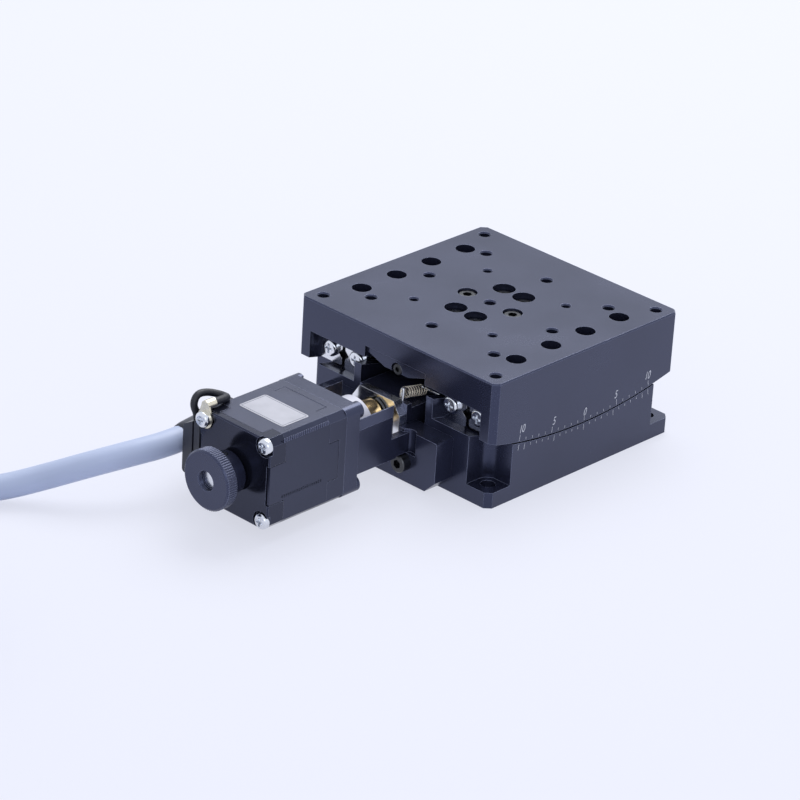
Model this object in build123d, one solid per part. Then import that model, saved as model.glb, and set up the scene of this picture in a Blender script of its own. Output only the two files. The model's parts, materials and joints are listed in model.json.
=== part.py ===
from build123d import *
import math
import os

# Motorised goniometer stage. All sizes are in millimetres and degrees.
# The origin is the centre of the base's underside. X runs along the worm and the motor, with the
# motor on the negative side. Y is the direction of the tilt axis. Z is up.

# Stage
table_side = 80.0
stage_height = 40.0
tilt_axis_height = 140.0
corner_chamfer = 1.8
edge_chamfer = 0.4

# Curved seats, as depths below the middle of the table's top
rail_seat_depth = 15.5
cavity_depth = 12.0
upstand_depth = 18.4
rail_height = 8.2
rail_float = 0.8
skirt_gap = 0.5

# Widths across the tilt axis
rail_middle_inset = 14.6
rail_gap = 1.2
rail_width = 8.8
cavity_half_width = 12.25

# Curved crossed-roller rails
rail_end_inset = 5.0
rail_edge_chamfer = 0.5
roller_diameter = 2.9
roller_length = 2.8
roller_play = 0.06
roller_count = 8
roller_pitch_angle = 1.8
cage_thickness = 0.6
cage_height = 5.6
cage_end_angle = 0.9
cage_hole_play = 0.12

# Base
base_flange_height = 5.0
notch_side = 9.0
notch_radius = 3.5
mount_hole_inset = 5.0
mount_hole_radius = 2.25
pit_side_gap = 3.7
pit_depth = 9.0
pit_end_gap = 4.0
pit_corner_radius = 3.0

# Holes in the table
grid_pitch = 25.0
grid_tap_radius = 1.65
grid_hole_depth = 8.0
inner_grid_spacing = 32.0
inner_tap_radius = 1.25
inner_hole_depth = 6.0
countersink_width = 0.4
rail_screw_pitch = 15.0
rail_screw_count = 4
outer_rail_screw_offset = 6.0
inner_rail_screw_offset = 5.0
rail_screw_floor = 9.0
rail_screw_grip = 5.0
sector_screw_x = 10.5
sector_screw_y = 4.0
sector_screw_sink = 6.0
side_screw_y = 9.2
side_screw_sink = 0.6

# Fasteners
m3_radius = 1.5
m3_head_radius = 2.75
m3_head_height = 3.0
m3_socket = 2.5
m4_radius = 2.0
m4_head_radius = 3.2
m4_head_height = 4.0
m4_socket = 3.0
m2_radius = 1.0
m2_head_radius = 1.9
m2_head_height = 2.0
m2_socket = 1.5
head_clearance = 0.3
shank_clearance = 0.08
pan_head_radius = 2.8
pan_head_height = 1.6
pan_shank_radius = 1.25
pan_shank_length = 4.0
cross_width = 0.7
cross_depth = 0.9
end_screw_depth = 3.7
outer_end_screw_offset = 4.9
inner_end_screw_offset = 6.1

# Worm and toothed sector
gear_module = 0.8
pitch_line_depth = 15.2
worm_pitch_radius = 6.2
pressure_angle = 20.0
tooth_play = 0.34
tip_play = 0.2
thread_half_length = 7.0
sector_end_inset = 1.0
sector_half_width = 12.0
sector_rim = 1.6
sector_tooth_half_width = 4.8
end_screw_rise = 0.8
end_screw_length = 3.0

# Worm shaft, bearings and carrier
shaft_radius = 2.5
bearing_outer_radius = 4.5
bearing_inner_edge = 3.2
bearing_width = 3.0
running_clearance = 0.05
fit_clearance = 0.02
carrier_half_width = 9.6
carrier_rise = 5.0
carrier_front = 4.0
carrier_rear_x = 18.0
carrier_pocket_front = 25.0
carrier_pocket_rear = 10.0
carrier_pocket_depth = 7.6
carrier_bore_play = 0.8
carrier_front_screw_insets = (7.0, 15.0)
carrier_rear_screw_inset = 4.0
carrier_screw_grip = 3.8
retainer_thickness = 3.0
retainer_rise = 6.1
retainer_chamfer_width = 2.7
retainer_chamfer_height = 4.0
retainer_screw_y = 5.6
retainer_screw_drop = 7.0
retainer_screw_radius = 1.0
retainer_screw_length = 6.0
lock_nut_radius = 5.0
lock_nut_width = 0.8
lock_nut_gap = 0.25

# Preload spring
spring_y = -6.9
spring_start_inset = 2.0
spring_end_inset = 9.4
spring_start_rise = 7.7
spring_end_rise = 5.9
spring_mean_radius = 1.5
spring_wire_radius = 0.28
spring_turns = 8
post_radius = 0.6
post_inset = 0.4
spring_room = 2.4
rib_pin_length = 5.0

# Motor bracket
foot_thickness = 7.0
foot_half_width = 25.0
foot_low = 1.0
foot_drop = 0.9
foot_bottom_chamfer = 3.8
foot_edge_radius = 0.6
foot_slot_play = 0.2
foot_screw_y = 12.5
foot_screw_drop = 11.2
foot_screw_grip = 7.0
relief_radius = 2.6
relief_depth = 1.6
relief_y = 14.3
relief_drop = 8.2
bracket_reach = 26.8
wall_outer = 13.0
wall_inner = 10.5
wall_rise = 7.3
wall_shoulder_rise = 5.4
wall_drop = 8.7
wall_end_gap = 3.4
wall_end_slope = 3.0
wall_low_drop = 1.9
motor_flange_thickness = 5.4
motor_flange_boss = 1.5

# Stepper motor
motor_side = 28.5
motor_corner = 1.9
motor_screw_spacing = 23.5
front_cap_length = 6.8
stator_length = 17.2
rear_cap_length = 6.4
pilot_radius = 11.0
pilot_height = 2.0
tab_length = 4.0
tab_depth = 0.9
tab_play = 0.18
top_tab_width = 16.7
side_tab_width = 12.0
cap_bore_radius = 9.2
cap_wall = 1.4
rotor_radius = 8.4
rotor_gap = 0.25
rotor_length = 15.0
motor_bearing_outer = 6.0
motor_bearing_inner_edge = 3.6
motor_bearing_width = 3.5
motor_screw_radius = 1.25
motor_screw_head_radius = 2.45
motor_screw_head_height = 1.9
motor_screw_pocket = 3.15
motor_screw_pocket_depth = 1.2
motor_shaft_reach = 16.4

# Coupling
coupling_radius = 7.85
coupling_motor_hub_length = 9.6
coupling_disc_length = 0.5
coupling_disc_rim = 0.4
coupling_disc_play = 0.5
coupling_worm_hub_length = 6.7
coupling_worm_hub_radius = 4.7
coupling_standoff = 1.3
shaft_end_gap = 0.6
coupling_screw_radius = 1.0
coupling_screw_length = 1.8
coupling_screw_angle = 150.0

# Hand knob
knob_radius = 9.2
knob_disc_length = 4.2
knob_hub_radius = 6.4
knob_hub_length = 5.5
knob_gap = 1.1
knob_flute_count = 40
knob_flute_radius = 0.35
knob_face_radius = 2.9
knob_shaft_recess = 1.8
knob_screw_radius = 1.0

# Cable box on the motor's far side
box_width = 6.75
box_length = 24.0
box_drop = 8.8
box_shoulder_rise = 6.4
box_slope = 3.9
box_wall = 1.5
box_edge = 1.2
box_groove_width = 0.7
box_groove_depth = 1.0
box_groove_offset = 2.3
box_groove_low = 7.4

# Cable, coil and connector
cable_diameter = 7.6
outlet_length = 8.0
outlet_wall = 1.6
outlet_offset = 4.7
outlet_drop = 1.2
gland_wall = 0.9
gland_depth = 3.5
gland_stand = 2.0
cable_play = 0.1
coil_x = -242.0
coil_y = 28.0
coil_mean_diameter = 80.0
coil_layers = 2
coil_lanes = 3
coil_start_angle = 95.0
coil_tail_angle = 180.0
coil_tail_lane = 33.0
coil_tail_start = -37.0
coil_tail_length = 24.0
coil_tail_play = 0.05

# Connector on the cable's end
hood_length = 32.0
hood_taper = 10.8
hood_width = 31.0
hood_thickness = 15.0
hood_throat = 12.0
hood_round = 2.0
shell_length = 6.0
shell_width = 17.0
shell_thickness = 8.4
shell_slope = 10.0
shell_flange = 1.0
jack_screw_spacing = 25.0
jack_screw_radius = 1.4
jack_screw_reach = 5.0
jack_knob_radius = 2.6
jack_knob_length = 6.0

# Earth lead
lead_diameter = 2.2
lug_thickness = 0.6
lug_outer_radius = 2.9
lug_height = 4.1
lug_barrel_radius = 1.5
lug_barrel_length = 3.4

# Sizes that follow from the ones above
half_table = table_side / 2
mount_hole_place = half_table - mount_hole_inset
rail_middle_y = half_table - rail_middle_inset
outer_rail_screw_y = rail_middle_y + outer_rail_screw_offset
inner_rail_screw_y = rail_middle_y - inner_rail_screw_offset
outer_end_screw_y = rail_middle_y + outer_end_screw_offset
inner_end_screw_y = rail_middle_y - inner_end_screw_offset
pivot_z = stage_height + tilt_axis_height
rail_seat_radius = tilt_axis_height + rail_seat_depth
cavity_radius = tilt_axis_height + cavity_depth
upstand_radius = tilt_axis_height + upstand_depth
rail_half_length = half_table - rail_end_inset
sector_half_length = half_table - sector_end_inset
base_seat_radius = rail_seat_radius + rail_height + rail_float
end_screw_radius_place = rail_seat_radius + end_screw_depth
skirt_radius = base_seat_radius - skirt_gap
inner_rail_face = rail_middle_y - rail_gap / 2
outer_rail_face = rail_middle_y + rail_gap / 2
upstand_half = inner_rail_face - rail_width
skirt_inner = outer_rail_face + rail_width
outer_rail_middle = rail_seat_radius + rail_height / 2
inner_rail_middle = base_seat_radius - rail_height / 2
roller_radius_place = (outer_rail_middle + inner_rail_middle) / 2
gear_teeth = round(2 * (tilt_axis_height + pitch_line_depth) / gear_module)
pitch_radius = gear_module * gear_teeth / 2
drive_axis_z = pivot_z - pitch_radius - worm_pitch_radius
thread_pitch = math.pi * gear_module
worm_root_radius = worm_pitch_radius - gear_module - tip_play
lead_angle = math.degrees(math.atan(thread_pitch / (2 * math.pi * worm_pitch_radius)))
sector_tip_radius = pitch_radius + gear_module
sector_root_radius = pitch_radius - gear_module - tip_play
face_x = -half_table
foot_front_x = face_x - foot_thickness
carrier_front_x = face_x - carrier_front
retainer_front_x = carrier_front_x - retainer_thickness
pit_half_width = carrier_half_width + pit_side_gap
pit_floor = drive_axis_z - pit_depth
pit_end_x = carrier_rear_x + pit_end_gap
carrier_top = drive_axis_z + carrier_rise
carrier_pocket_floor = drive_axis_z - carrier_pocket_depth
retainer_top = drive_axis_z + retainer_rise
retainer_screw_z = drive_axis_z - retainer_screw_drop
spring_start_x = carrier_front_x + spring_start_inset
spring_end_x = carrier_front_x + spring_end_inset
spring_start_z = drive_axis_z + spring_start_rise
spring_end_z = drive_axis_z + spring_end_rise
foot_high = drive_axis_z - foot_drop
foot_screw_z = drive_axis_z - foot_screw_drop
relief_floor = drive_axis_z - relief_drop
wall_top = drive_axis_z + wall_rise
wall_shoulder = drive_axis_z + wall_shoulder_rise
wall_bottom = drive_axis_z - wall_drop
wall_low_top = drive_axis_z - wall_low_drop
motor_front_x = foot_front_x - bracket_reach
stator_front_x = motor_front_x - front_cap_length
stator_rear_x = stator_front_x - stator_length
motor_rear_x = stator_rear_x - rear_cap_length
coupling_end_x = retainer_front_x - coupling_standoff
coupling_disc_x = coupling_end_x - coupling_worm_hub_length
coupling_hub_x = coupling_disc_x - coupling_disc_length
coupling_start_x = coupling_hub_x - coupling_motor_hub_length
knob_hub_x = motor_rear_x - knob_gap
knob_disc_x = knob_hub_x - knob_hub_length
knob_front_x = knob_disc_x - knob_disc_length
box_far_y = motor_side / 2 + box_width
box_end_x = motor_rear_x + box_length
box_low = drive_axis_z - box_drop
box_shoulder = drive_axis_z + box_shoulder_rise
box_high = box_shoulder + box_slope
foot_slot_floor = pit_floor - foot_slot_play
cable_radius = cable_diameter / 2
hood_start = coil_tail_start + coil_tail_length
outlet_y = box_far_y + outlet_offset
outlet_x = box_end_x - outlet_length
outlet_z = drive_axis_z - outlet_drop


def block(x_low, x_high, y_low, y_high, z_low, z_high):
    """A rectangular block between two corners."""
    middle = Pos((x_low + x_high) / 2, (y_low + y_high) / 2, (z_low + z_high) / 2)
    return middle * Box(x_high - x_low, y_high - y_low, z_high - z_low)


def rod_x(radius, x_low, x_high, y=0.0, z=0.0):
    """A round bar along X."""
    return Pos((x_low + x_high) / 2, y, z) * Rot(0, 90, 0) * Cylinder(radius, x_high - x_low)


def rod_y(radius, y_low, y_high, x=0.0, z=0.0):
    """A round bar along Y."""
    return Pos(x, (y_low + y_high) / 2, z) * Rot(90, 0, 0) * Cylinder(radius, y_high - y_low)


def rod_z(radius, z_low, z_high, x=0.0, y=0.0):
    """A round bar along Z."""
    return Pos(x, y, (z_low + z_high) / 2) * Cylinder(radius, z_high - z_low)


def ring_x(outer, inner, x_low, x_high, z=drive_axis_z):
    """A ring about the drive axis."""
    return rod_x(outer, x_low, x_high, z=z) - rod_x(inner, x_low - 1, x_high + 1, z=z)


def drum(radius, y_low, y_high):
    """A cylinder about the tilt axis."""
    return rod_y(radius, y_low, y_high, z=pivot_z)


def both_sides(shape):
    """A shape and its mirror image on the other side of the middle plane."""
    return [shape, mirror(shape, about=Plane.XZ)]


def group(shapes):
    """Separate solids that share one node."""
    return Compound([solid for shape in shapes for solid in shape.solids()])


def swing(section_points, half_angle):
    """A profile of (y, radius) points, swept about the tilt axis to both sides of the bottom."""
    corners = [(y, pivot_z - radius) for y, radius in section_points]
    face = Plane.YZ * make_face(Polyline(*corners, close=True))
    axis = Axis((0, 0, pivot_z), (0, 1, 0))
    return revolve(face, axis, 2 * half_angle).rotate(axis, -half_angle)


def height_on(radius, x):
    """The height of a surface of that radius about the tilt axis, at a distance from the middle."""
    return pivot_z - math.sqrt(radius ** 2 - x ** 2)


def cap_screw(radius, head_radius, head_height, socket, length):
    """A socket head cap screw along Z, with the head above the origin and the shank below."""
    head = rod_z(head_radius, 0, head_height)
    head = chamfer(head.edges().group_by(Axis.Z)[-1], 0.3)
    hexagon = Pos(0, 0, head_height) * RegularPolygon(socket / 2, 6, major_radius=False)
    head -= extrude(hexagon, -head_height / 2)
    return head + rod_z(radius, -length, 0)


def m3_screw(length):
    return cap_screw(m3_radius, m3_head_radius, m3_head_height, m3_socket, length)


def m4_screw(length):
    return cap_screw(m4_radius, m4_head_radius, m4_head_height, m4_socket, length)


def m2_screw(length):
    return cap_screw(m2_radius, m2_head_radius, m2_head_height, m2_socket, length)


def pan_screw(radius, head_radius, head_height, length):
    """A pan head screw along Z with a cross recess, head above the origin and shank below."""
    head = rod_z(head_radius, 0, head_height)
    head = fillet(head.edges().group_by(Axis.Z)[-1], head_height * 0.6)
    slot = block(-head_radius * 0.55, head_radius * 0.55, -cross_width / 2, cross_width / 2,
                 head_height - cross_depth, head_height + 1)
    head -= slot
    head -= slot.rotate(Axis.Z, 90)
    return head + rod_z(radius, -length, 0)


def tapped_hole(radius, x, y, depth):
    """The cut for a tapped hole in the table's top, with its countersink."""
    top = stage_height
    cut = rod_z(radius, top - depth, top + 1, x, y)
    sink = Pos(x, y, top - countersink_width / 2) * Cone(radius, radius + countersink_width,
                                                        countersink_width)
    return cut + sink


def rail_screw_places():
    """The places along X of the screws that hold a rail."""
    middle = (rail_screw_count - 1) / 2
    return [(i - middle) * rail_screw_pitch for i in range(rail_screw_count)]


def table_slab(y_low, y_high, radius):
    """A slice of the table, cut below by a cylinder about the tilt axis."""
    low = pivot_z - radius - 1
    box = block(-half_table, half_table, y_low, y_high, low, stage_height)
    return box & drum(radius, y_low - 1, y_high + 1)


def make_table():
    middle = table_slab(-cavity_half_width, cavity_half_width, cavity_radius)
    body = middle
    for side in (-1, 1):
        seat = sorted((side * cavity_half_width, side * skirt_inner))
        skirt = sorted((side * skirt_inner, side * half_table))
        body += table_slab(seat[0], seat[1], rail_seat_radius)
        body += table_slab(skirt[0], skirt[1], skirt_radius)
    corners = body.edges().filter_by(Axis.Z).group_by(SortBy.DISTANCE)[-1]
    body = chamfer(corners, corner_chamfer)
    body = chamfer(body.faces().sort_by(Axis.Z)[-1].edges(), edge_chamfer)
    cuts = []
    corner = mount_hole_place
    for x in (-corner, corner):
        for y in (-corner, corner):
            cuts.append(tapped_hole(grid_tap_radius, x, y, grid_hole_depth))
    for i in (-1, 0, 1):
        for j in (-1, 0, 1):
            cuts.append(tapped_hole(grid_tap_radius, i * grid_pitch, j * grid_pitch, grid_hole_depth))
    small = inner_grid_spacing / 2
    for x in (-small, small):
        for y in (-small, small):
            cuts.append(tapped_hole(inner_tap_radius, x, y, inner_hole_depth))
    floor = stage_height - rail_screw_floor
    for x in rail_screw_places():
        for y in (-outer_rail_screw_y, outer_rail_screw_y):
            cuts.append(rod_z(m3_head_radius + head_clearance, floor, stage_height + 1, x, y))
            cuts.append(rod_z(m3_radius + shank_clearance, 0, floor, x, y))
    for x in (-sector_screw_x, sector_screw_x):
        for y in (-sector_screw_y, sector_screw_y):
            floor = stage_height - sector_screw_sink
            cuts.append(rod_z(m4_head_radius + head_clearance, floor, stage_height + 1, x, y))
            cuts.append(rod_z(m4_radius + shank_clearance, 0, floor, x, y))
    for y in (-side_screw_y, side_screw_y):
        floor = stage_height - side_screw_sink - m3_head_height
        cuts.append(rod_z(m3_head_radius + head_clearance, floor, stage_height + 1, 0, y))
        cuts.append(rod_z(m3_radius + shank_clearance, 0, floor, 0, y))
    return body - cuts


def base_slab(y_low, y_high, radius):
    """A slice of the base, cut above by a cylinder about the tilt axis."""
    high = stage_height - edge_chamfer
    box = block(-half_table, half_table, y_low, y_high, 0, high)
    return box - drum(radius, y_low - 1, y_high + 1)


def carrier_screw_places():
    """The places along X of the screws that hold the carrier."""
    front = [carrier_front_x + inset for inset in carrier_front_screw_insets]
    return [*front, carrier_rear_x - carrier_rear_screw_inset]


def foot_screw_spots():
    return [(-foot_screw_y, foot_screw_z), (foot_screw_y, foot_screw_z)]


def make_base():
    body = base_slab(-upstand_half, upstand_half, upstand_radius)
    body += base_slab(upstand_half, half_table, base_seat_radius)
    body += base_slab(-half_table, -upstand_half, base_seat_radius)
    corners = body.edges().filter_by(Axis.Z).group_by(SortBy.DISTANCE)[-1]
    body = chamfer(corners, corner_chamfer)
    pit = block(face_x - pit_corner_radius * 2, pit_end_x, -pit_half_width, pit_half_width,
                pit_floor, stage_height)
    body -= fillet(pit.edges().filter_by(Axis.Z), pit_corner_radius)
    cuts = []
    for x in (-half_table, half_table):
        for y in (-half_table, half_table):
            notch = block(x - notch_side, x + notch_side, y - notch_side, y + notch_side,
                          base_flange_height, stage_height)
            cuts.append(fillet(notch.edges().filter_by(Axis.Z), notch_radius))
    corner = mount_hole_place
    for x in (-corner, corner):
        for y in (-corner, corner):
            cuts.append(rod_z(mount_hole_radius, -1, base_flange_height + 1, x, y))
    sink = m3_head_height + edge_chamfer
    for x in rail_screw_places():
        for y in (-inner_rail_screw_y, inner_rail_screw_y):
            cuts.append(rod_z(m3_head_radius + head_clearance, -1, sink, x, y))
            cuts.append(rod_z(m3_radius + shank_clearance, sink, stage_height, x, y))
    for x in carrier_screw_places():
        cuts.append(rod_z(m3_head_radius + head_clearance, -1, sink, x, 0))
        cuts.append(rod_z(m3_radius + shank_clearance, sink, pit_floor + 1, x, 0))
    for y, z in foot_screw_spots():
        cuts.append(rod_x(m3_radius + shank_clearance, face_x - 1, face_x + foot_screw_grip + 0.5, y, z))
    cuts.append(rod_y(post_radius + fit_clearance, -pit_half_width - rib_pin_length / 2,
                      -pit_half_width + 1, spring_end_x + spring_mean_radius, spring_end_z))
    return body - cuts


def rail_section(face_y, back_y, low_radius, high_radius):
    """A rail's outline, with the V groove in the face that looks at the other rail."""
    middle = roller_radius_place
    groove = (roller_diameter / 2 + roller_play) * math.sqrt(2)
    depth = groove - rail_gap / 2
    way = 1 if back_y > face_y else -1
    cut = rail_edge_chamfer
    return [
        (face_y + way * cut, low_radius), (face_y, low_radius + cut), (face_y, middle - depth),
        (face_y + way * depth, middle), (face_y, middle + depth), (face_y, high_radius - cut),
        (face_y + way * cut, high_radius), (back_y, high_radius), (back_y, low_radius),
    ]


def end_screw_place(y, side):
    """Puts a screw on the end face of a rail, pointing into it."""
    z = height_on(end_screw_radius_place, rail_half_length)
    return Pos(side * rail_half_length, y, z) * Rot(0, side * 90, 0)


def end_screw_holes(y):
    holes = []
    for side in (-1, 1):
        hole = rod_z(pan_shank_radius + shank_clearance, -pan_shank_length - 0.5, 1)
        holes.append(end_screw_place(y, side) * hole)
    return holes


def make_rail(section, screw_y, end_y, screw_low, screw_high):
    half_angle = math.degrees(math.asin(rail_half_length / rail_seat_radius)) + 2
    body = swing(section, half_angle)
    length = block(-rail_half_length, rail_half_length, -half_table, half_table, 0, stage_height)
    body &= length
    cuts = end_screw_holes(end_y)
    for x in rail_screw_places():
        cuts.append(rod_z(m3_radius + shank_clearance, screw_low, screw_high, x, screw_y))
    return body - cuts


def make_outer_rail():
    section = rail_section(outer_rail_face, skirt_inner, rail_seat_radius,
                           rail_seat_radius + rail_height)
    tip = height_on(rail_seat_radius, 0) - rail_screw_grip - 0.5
    return make_rail(section, outer_rail_screw_y, outer_end_screw_y, tip, stage_height)


def make_inner_rail():
    section = rail_section(inner_rail_face, upstand_half, base_seat_radius - rail_height,
                           base_seat_radius)
    tip = height_on(base_seat_radius, rail_screw_places()[-1]) + rail_screw_grip + 0.5
    return make_rail(section, inner_rail_screw_y, inner_end_screw_y, 0, tip)


def make_outer_rail_screws():
    floor = stage_height - rail_screw_floor
    length = floor - height_on(rail_seat_radius, 0) + rail_screw_grip
    screw = m3_screw(length)
    return group([Pos(x, y, floor) * screw for x in rail_screw_places()
                  for y in (-outer_rail_screw_y, outer_rail_screw_y)])


def make_inner_rail_screws():
    floor = m3_head_height + edge_chamfer
    length = height_on(base_seat_radius, rail_screw_places()[0]) + rail_screw_grip - floor
    screw = Rot(180, 0, 0) * m3_screw(length)
    return group([Pos(x, y, floor) * screw for x in rail_screw_places()
                  for y in (-inner_rail_screw_y, inner_rail_screw_y)])


def make_end_screws(y):
    screw = pan_screw(pan_shank_radius, pan_head_radius, pan_head_height, pan_shank_length)
    return group([end_screw_place(side_y, side) * screw for side in (-1, 1) for side_y in (-y, y)])


def roller_angles():
    middle = (roller_count - 1) / 2
    return [(i - middle) * roller_pitch_angle for i in range(roller_count)]


def make_cage():
    half_angle = roller_angles()[-1] + cage_end_angle
    low = roller_radius_place - cage_height / 2
    high = roller_radius_place + cage_height / 2
    near = rail_middle_y - cage_thickness / 2
    far = rail_middle_y + cage_thickness / 2
    body = swing([(near, low), (far, low), (far, high), (near, high)], half_angle)
    reach = math.hypot(roller_diameter / 2, roller_length / 2) + cage_hole_play
    axis = Axis((0, 0, pivot_z), (0, 1, 0))
    window = rod_y(reach, near - 1, far + 1, z=pivot_z - roller_radius_place)
    return body - [window.rotate(axis, angle) for angle in roller_angles()]


def make_rollers():
    axis = Axis((0, 0, pivot_z), (0, 1, 0))
    rollers = []
    for i, angle in enumerate(roller_angles()):
        lean = 45 if i % 2 else -45
        bar = Rot(lean, 0, 0) * Cylinder(roller_diameter / 2, roller_length)
        bar = Pos(0, rail_middle_y, pivot_z - roller_radius_place) * bar
        rollers.append(bar.rotate(axis, angle))
    return group(rollers)


def make_sector():
    """The toothed segment of a wheel about the tilt axis, on its flange below the table."""
    rim = cavity_radius + sector_rim
    wide = sector_half_width
    narrow = sector_tooth_half_width
    section = [(-wide, cavity_radius), (wide, cavity_radius), (wide, rim), (narrow, sector_tip_radius),
               (-narrow, sector_tip_radius), (-wide, rim)]
    half_angle = math.degrees(math.asin(sector_half_length / cavity_radius)) + 1
    body = swing(section, half_angle)
    body &= block(-sector_half_length, sector_half_length, -wide - 1, wide + 1, 0, stage_height)
    slope = math.tan(math.radians(pressure_angle))
    at_pitch = thread_pitch / 4 + tooth_play / 4
    outside = at_pitch + (sector_tip_radius + 1 - pitch_radius) * slope
    inside = at_pitch - (pitch_radius - sector_root_radius) * slope
    outline = Polyline((-outside, -sector_tip_radius - 1), (outside, -sector_tip_radius - 1),
                       (inside, -sector_root_radius), (-inside, -sector_root_radius), close=True)
    gap = extrude(Plane.XZ * make_face(outline), sector_tooth_half_width + 1.5, both=True)
    gap = Pos(0, 0, pivot_z) * gap
    slant = Axis((0, 0, 0), (0, 0, 1))
    gap = gap.rotate(slant, -lead_angle)
    step = 360 / gear_teeth
    reach = math.degrees(math.asin(sector_half_length / sector_tip_radius))
    count = int(reach / step)
    axis = Axis((0, 0, pivot_z), (0, 1, 0))
    gaps = [gap.rotate(axis, i * step) for i in range(-count, count + 1)]
    body -= gaps
    cuts = []
    for x in (-sector_screw_x, sector_screw_x):
        for y in (-sector_screw_y, sector_screw_y):
            cuts.append(rod_z(m4_radius + shank_clearance, sector_screw_tip(), stage_height, x, y))
    for y in (-side_screw_y, side_screw_y):
        cuts.append(rod_z(m3_radius + shank_clearance, 0, stage_height, 0, y))
    x, z = end_screw_seat()
    cuts.append(rod_x(m2_head_radius + head_clearance, x - m2_head_height - 1, x, 0, z))
    cuts.append(rod_x(m2_radius + shank_clearance, x - 1, x + end_screw_length + 0.5, 0, z))
    return body - cuts


def sector_screw_tip():
    """The lowest point of the screws that hold the sector, clear of its teeth."""
    return height_on(sector_root_radius, 0) + 0.6


def end_screw_seat():
    """The seat of the cap screw in the end of the sector, and its height."""
    x = -sector_half_length + m2_head_height + head_clearance
    return x, height_on(sector_tip_radius, sector_half_length) + end_screw_rise


def make_sector_screws():
    floor = stage_height - sector_screw_sink
    screw = m4_screw(floor - sector_screw_tip() - 0.3)
    return group([Pos(x, y, floor) * screw for x in (-sector_screw_x, sector_screw_x)
                  for y in (-sector_screw_y, sector_screw_y)])


def make_side_screws():
    floor = stage_height - side_screw_sink - m3_head_height
    screw = m3_screw(floor - height_on(cavity_radius + sector_rim, 0) + 0.3)
    return group([Pos(0, y, floor) * screw for y in (-side_screw_y, side_screw_y)])


def make_sector_end_screw():
    x, z = end_screw_seat()
    return Pos(x, 0, z) * Rot(0, -90, 0) * m2_screw(end_screw_length)


def make_worm():
    """The worm and its shaft in one piece, with a true right-hand thread."""
    core = rod_x(worm_root_radius, -thread_half_length - 1, thread_half_length + 1, z=drive_axis_z)
    shaft = rod_x(shaft_radius, coupling_disc_x + shaft_end_gap, carrier_rear_x - 2, z=drive_axis_z)
    slope = math.tan(math.radians(pressure_angle))
    at_pitch = thread_pitch / 4 - tooth_play / 4
    outside = at_pitch - gear_module * slope
    sunk = worm_root_radius - 0.3
    inside = at_pitch + (worm_pitch_radius - sunk) * slope
    height = 2 * thread_half_length
    path = Helix(thread_pitch, height, worm_pitch_radius)
    start = worm_pitch_radius
    outline = Polyline((sunk, -inside), (start + gear_module, -outside),
                       (start + gear_module, outside), (sunk, inside), close=True)
    thread = sweep(Plane.XZ * make_face(outline), path=path, is_frenet=True)
    turns = height / thread_pitch
    thread = Pos(0, 0, -height / 2) * Rot(0, 0, -180 * turns) * thread
    thread = Pos(0, 0, drive_axis_z) * Rot(0, 90, 0) * Rot(0, 0, 180) * thread
    return core + shaft + thread


def worm_bearing_places():
    """The left end of each bearing on the worm shaft."""
    return [carrier_front_x, carrier_rear_x - 2 * bearing_width]


def make_carrier():
    """The cradle that holds the worm's bearings."""
    body = block(carrier_front_x, carrier_rear_x, -carrier_half_width, carrier_half_width,
                 pit_floor, carrier_top)
    pocket = block(-carrier_pocket_front, carrier_pocket_rear, -carrier_half_width - 1,
                   carrier_half_width + 1, carrier_pocket_floor, carrier_top + 1)
    body -= fillet(pocket.edges().filter_by(Axis.Y).group_by(Axis.Z)[0], 1.0)
    bore = shaft_radius + carrier_bore_play
    body -= rod_x(bore, carrier_front_x - 1, carrier_rear_x + 1, z=drive_axis_z)
    for x in worm_bearing_places():
        body -= rod_x(bearing_outer_radius + fit_clearance, x - 0.001, x + bearing_width,
                      z=drive_axis_z)
    for x in carrier_screw_places():
        body -= rod_z(m3_radius + shank_clearance, pit_floor - 1,
                      pit_floor + carrier_screw_grip + 0.3, x, 0)
    for y in (-retainer_screw_y, retainer_screw_y):
        body -= rod_x(retainer_screw_radius + shank_clearance, carrier_front_x - 1,
                      carrier_front_x + retainer_screw_length, y, retainer_screw_z)
    body -= block(spring_start_x, -carrier_pocket_front, -carrier_half_width - 1,
                  spring_y + spring_room, spring_end_z - spring_room, carrier_top + 1)
    post = spring_post_place()
    body -= rod_z(post_radius + fit_clearance, carrier_top - 3, carrier_top + 1, post[0], post[1])
    return body


def make_carrier_screws():
    floor = m3_head_height + edge_chamfer
    screw = Rot(180, 0, 0) * m3_screw(pit_floor - floor + carrier_screw_grip)
    return group([Pos(x, 0, floor) * screw for x in carrier_screw_places()])


def make_retainer():
    """The bright plate that closes the front bearing."""
    half = carrier_half_width
    outline = [(-half, pit_floor), (half, pit_floor), (half, retainer_top - retainer_chamfer_height),
               (half - retainer_chamfer_width, retainer_top),
               (retainer_chamfer_width - half, retainer_top),
               (-half, retainer_top - retainer_chamfer_height)]
    plate = Plane.YZ * make_face(Polyline(*outline, close=True))
    body = Pos(retainer_front_x, 0, 0) * extrude(plate, retainer_thickness)
    body -= rod_x(shaft_radius + carrier_bore_play, retainer_front_x - 1, carrier_front_x + 1,
                  z=drive_axis_z)
    for y in (-retainer_screw_y, retainer_screw_y):
        body -= rod_x(retainer_screw_radius + shank_clearance, retainer_front_x - 1,
                      carrier_front_x + 1, y, retainer_screw_z)
    return body


def make_retainer_screws():
    length = retainer_thickness + retainer_screw_length - 0.5
    screw = pan_screw(retainer_screw_radius, retainer_screw_radius * 1.8, 1.2, length)
    return group([Pos(retainer_front_x, y, retainer_screw_z) * Rot(0, -90, 0) * screw
                  for y in (-retainer_screw_y, retainer_screw_y)])


def make_worm_bearing_outers():
    inner = bearing_inner_edge + running_clearance
    return group([ring_x(bearing_outer_radius, inner, x, x + bearing_width)
                  for x in worm_bearing_places()])


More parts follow.
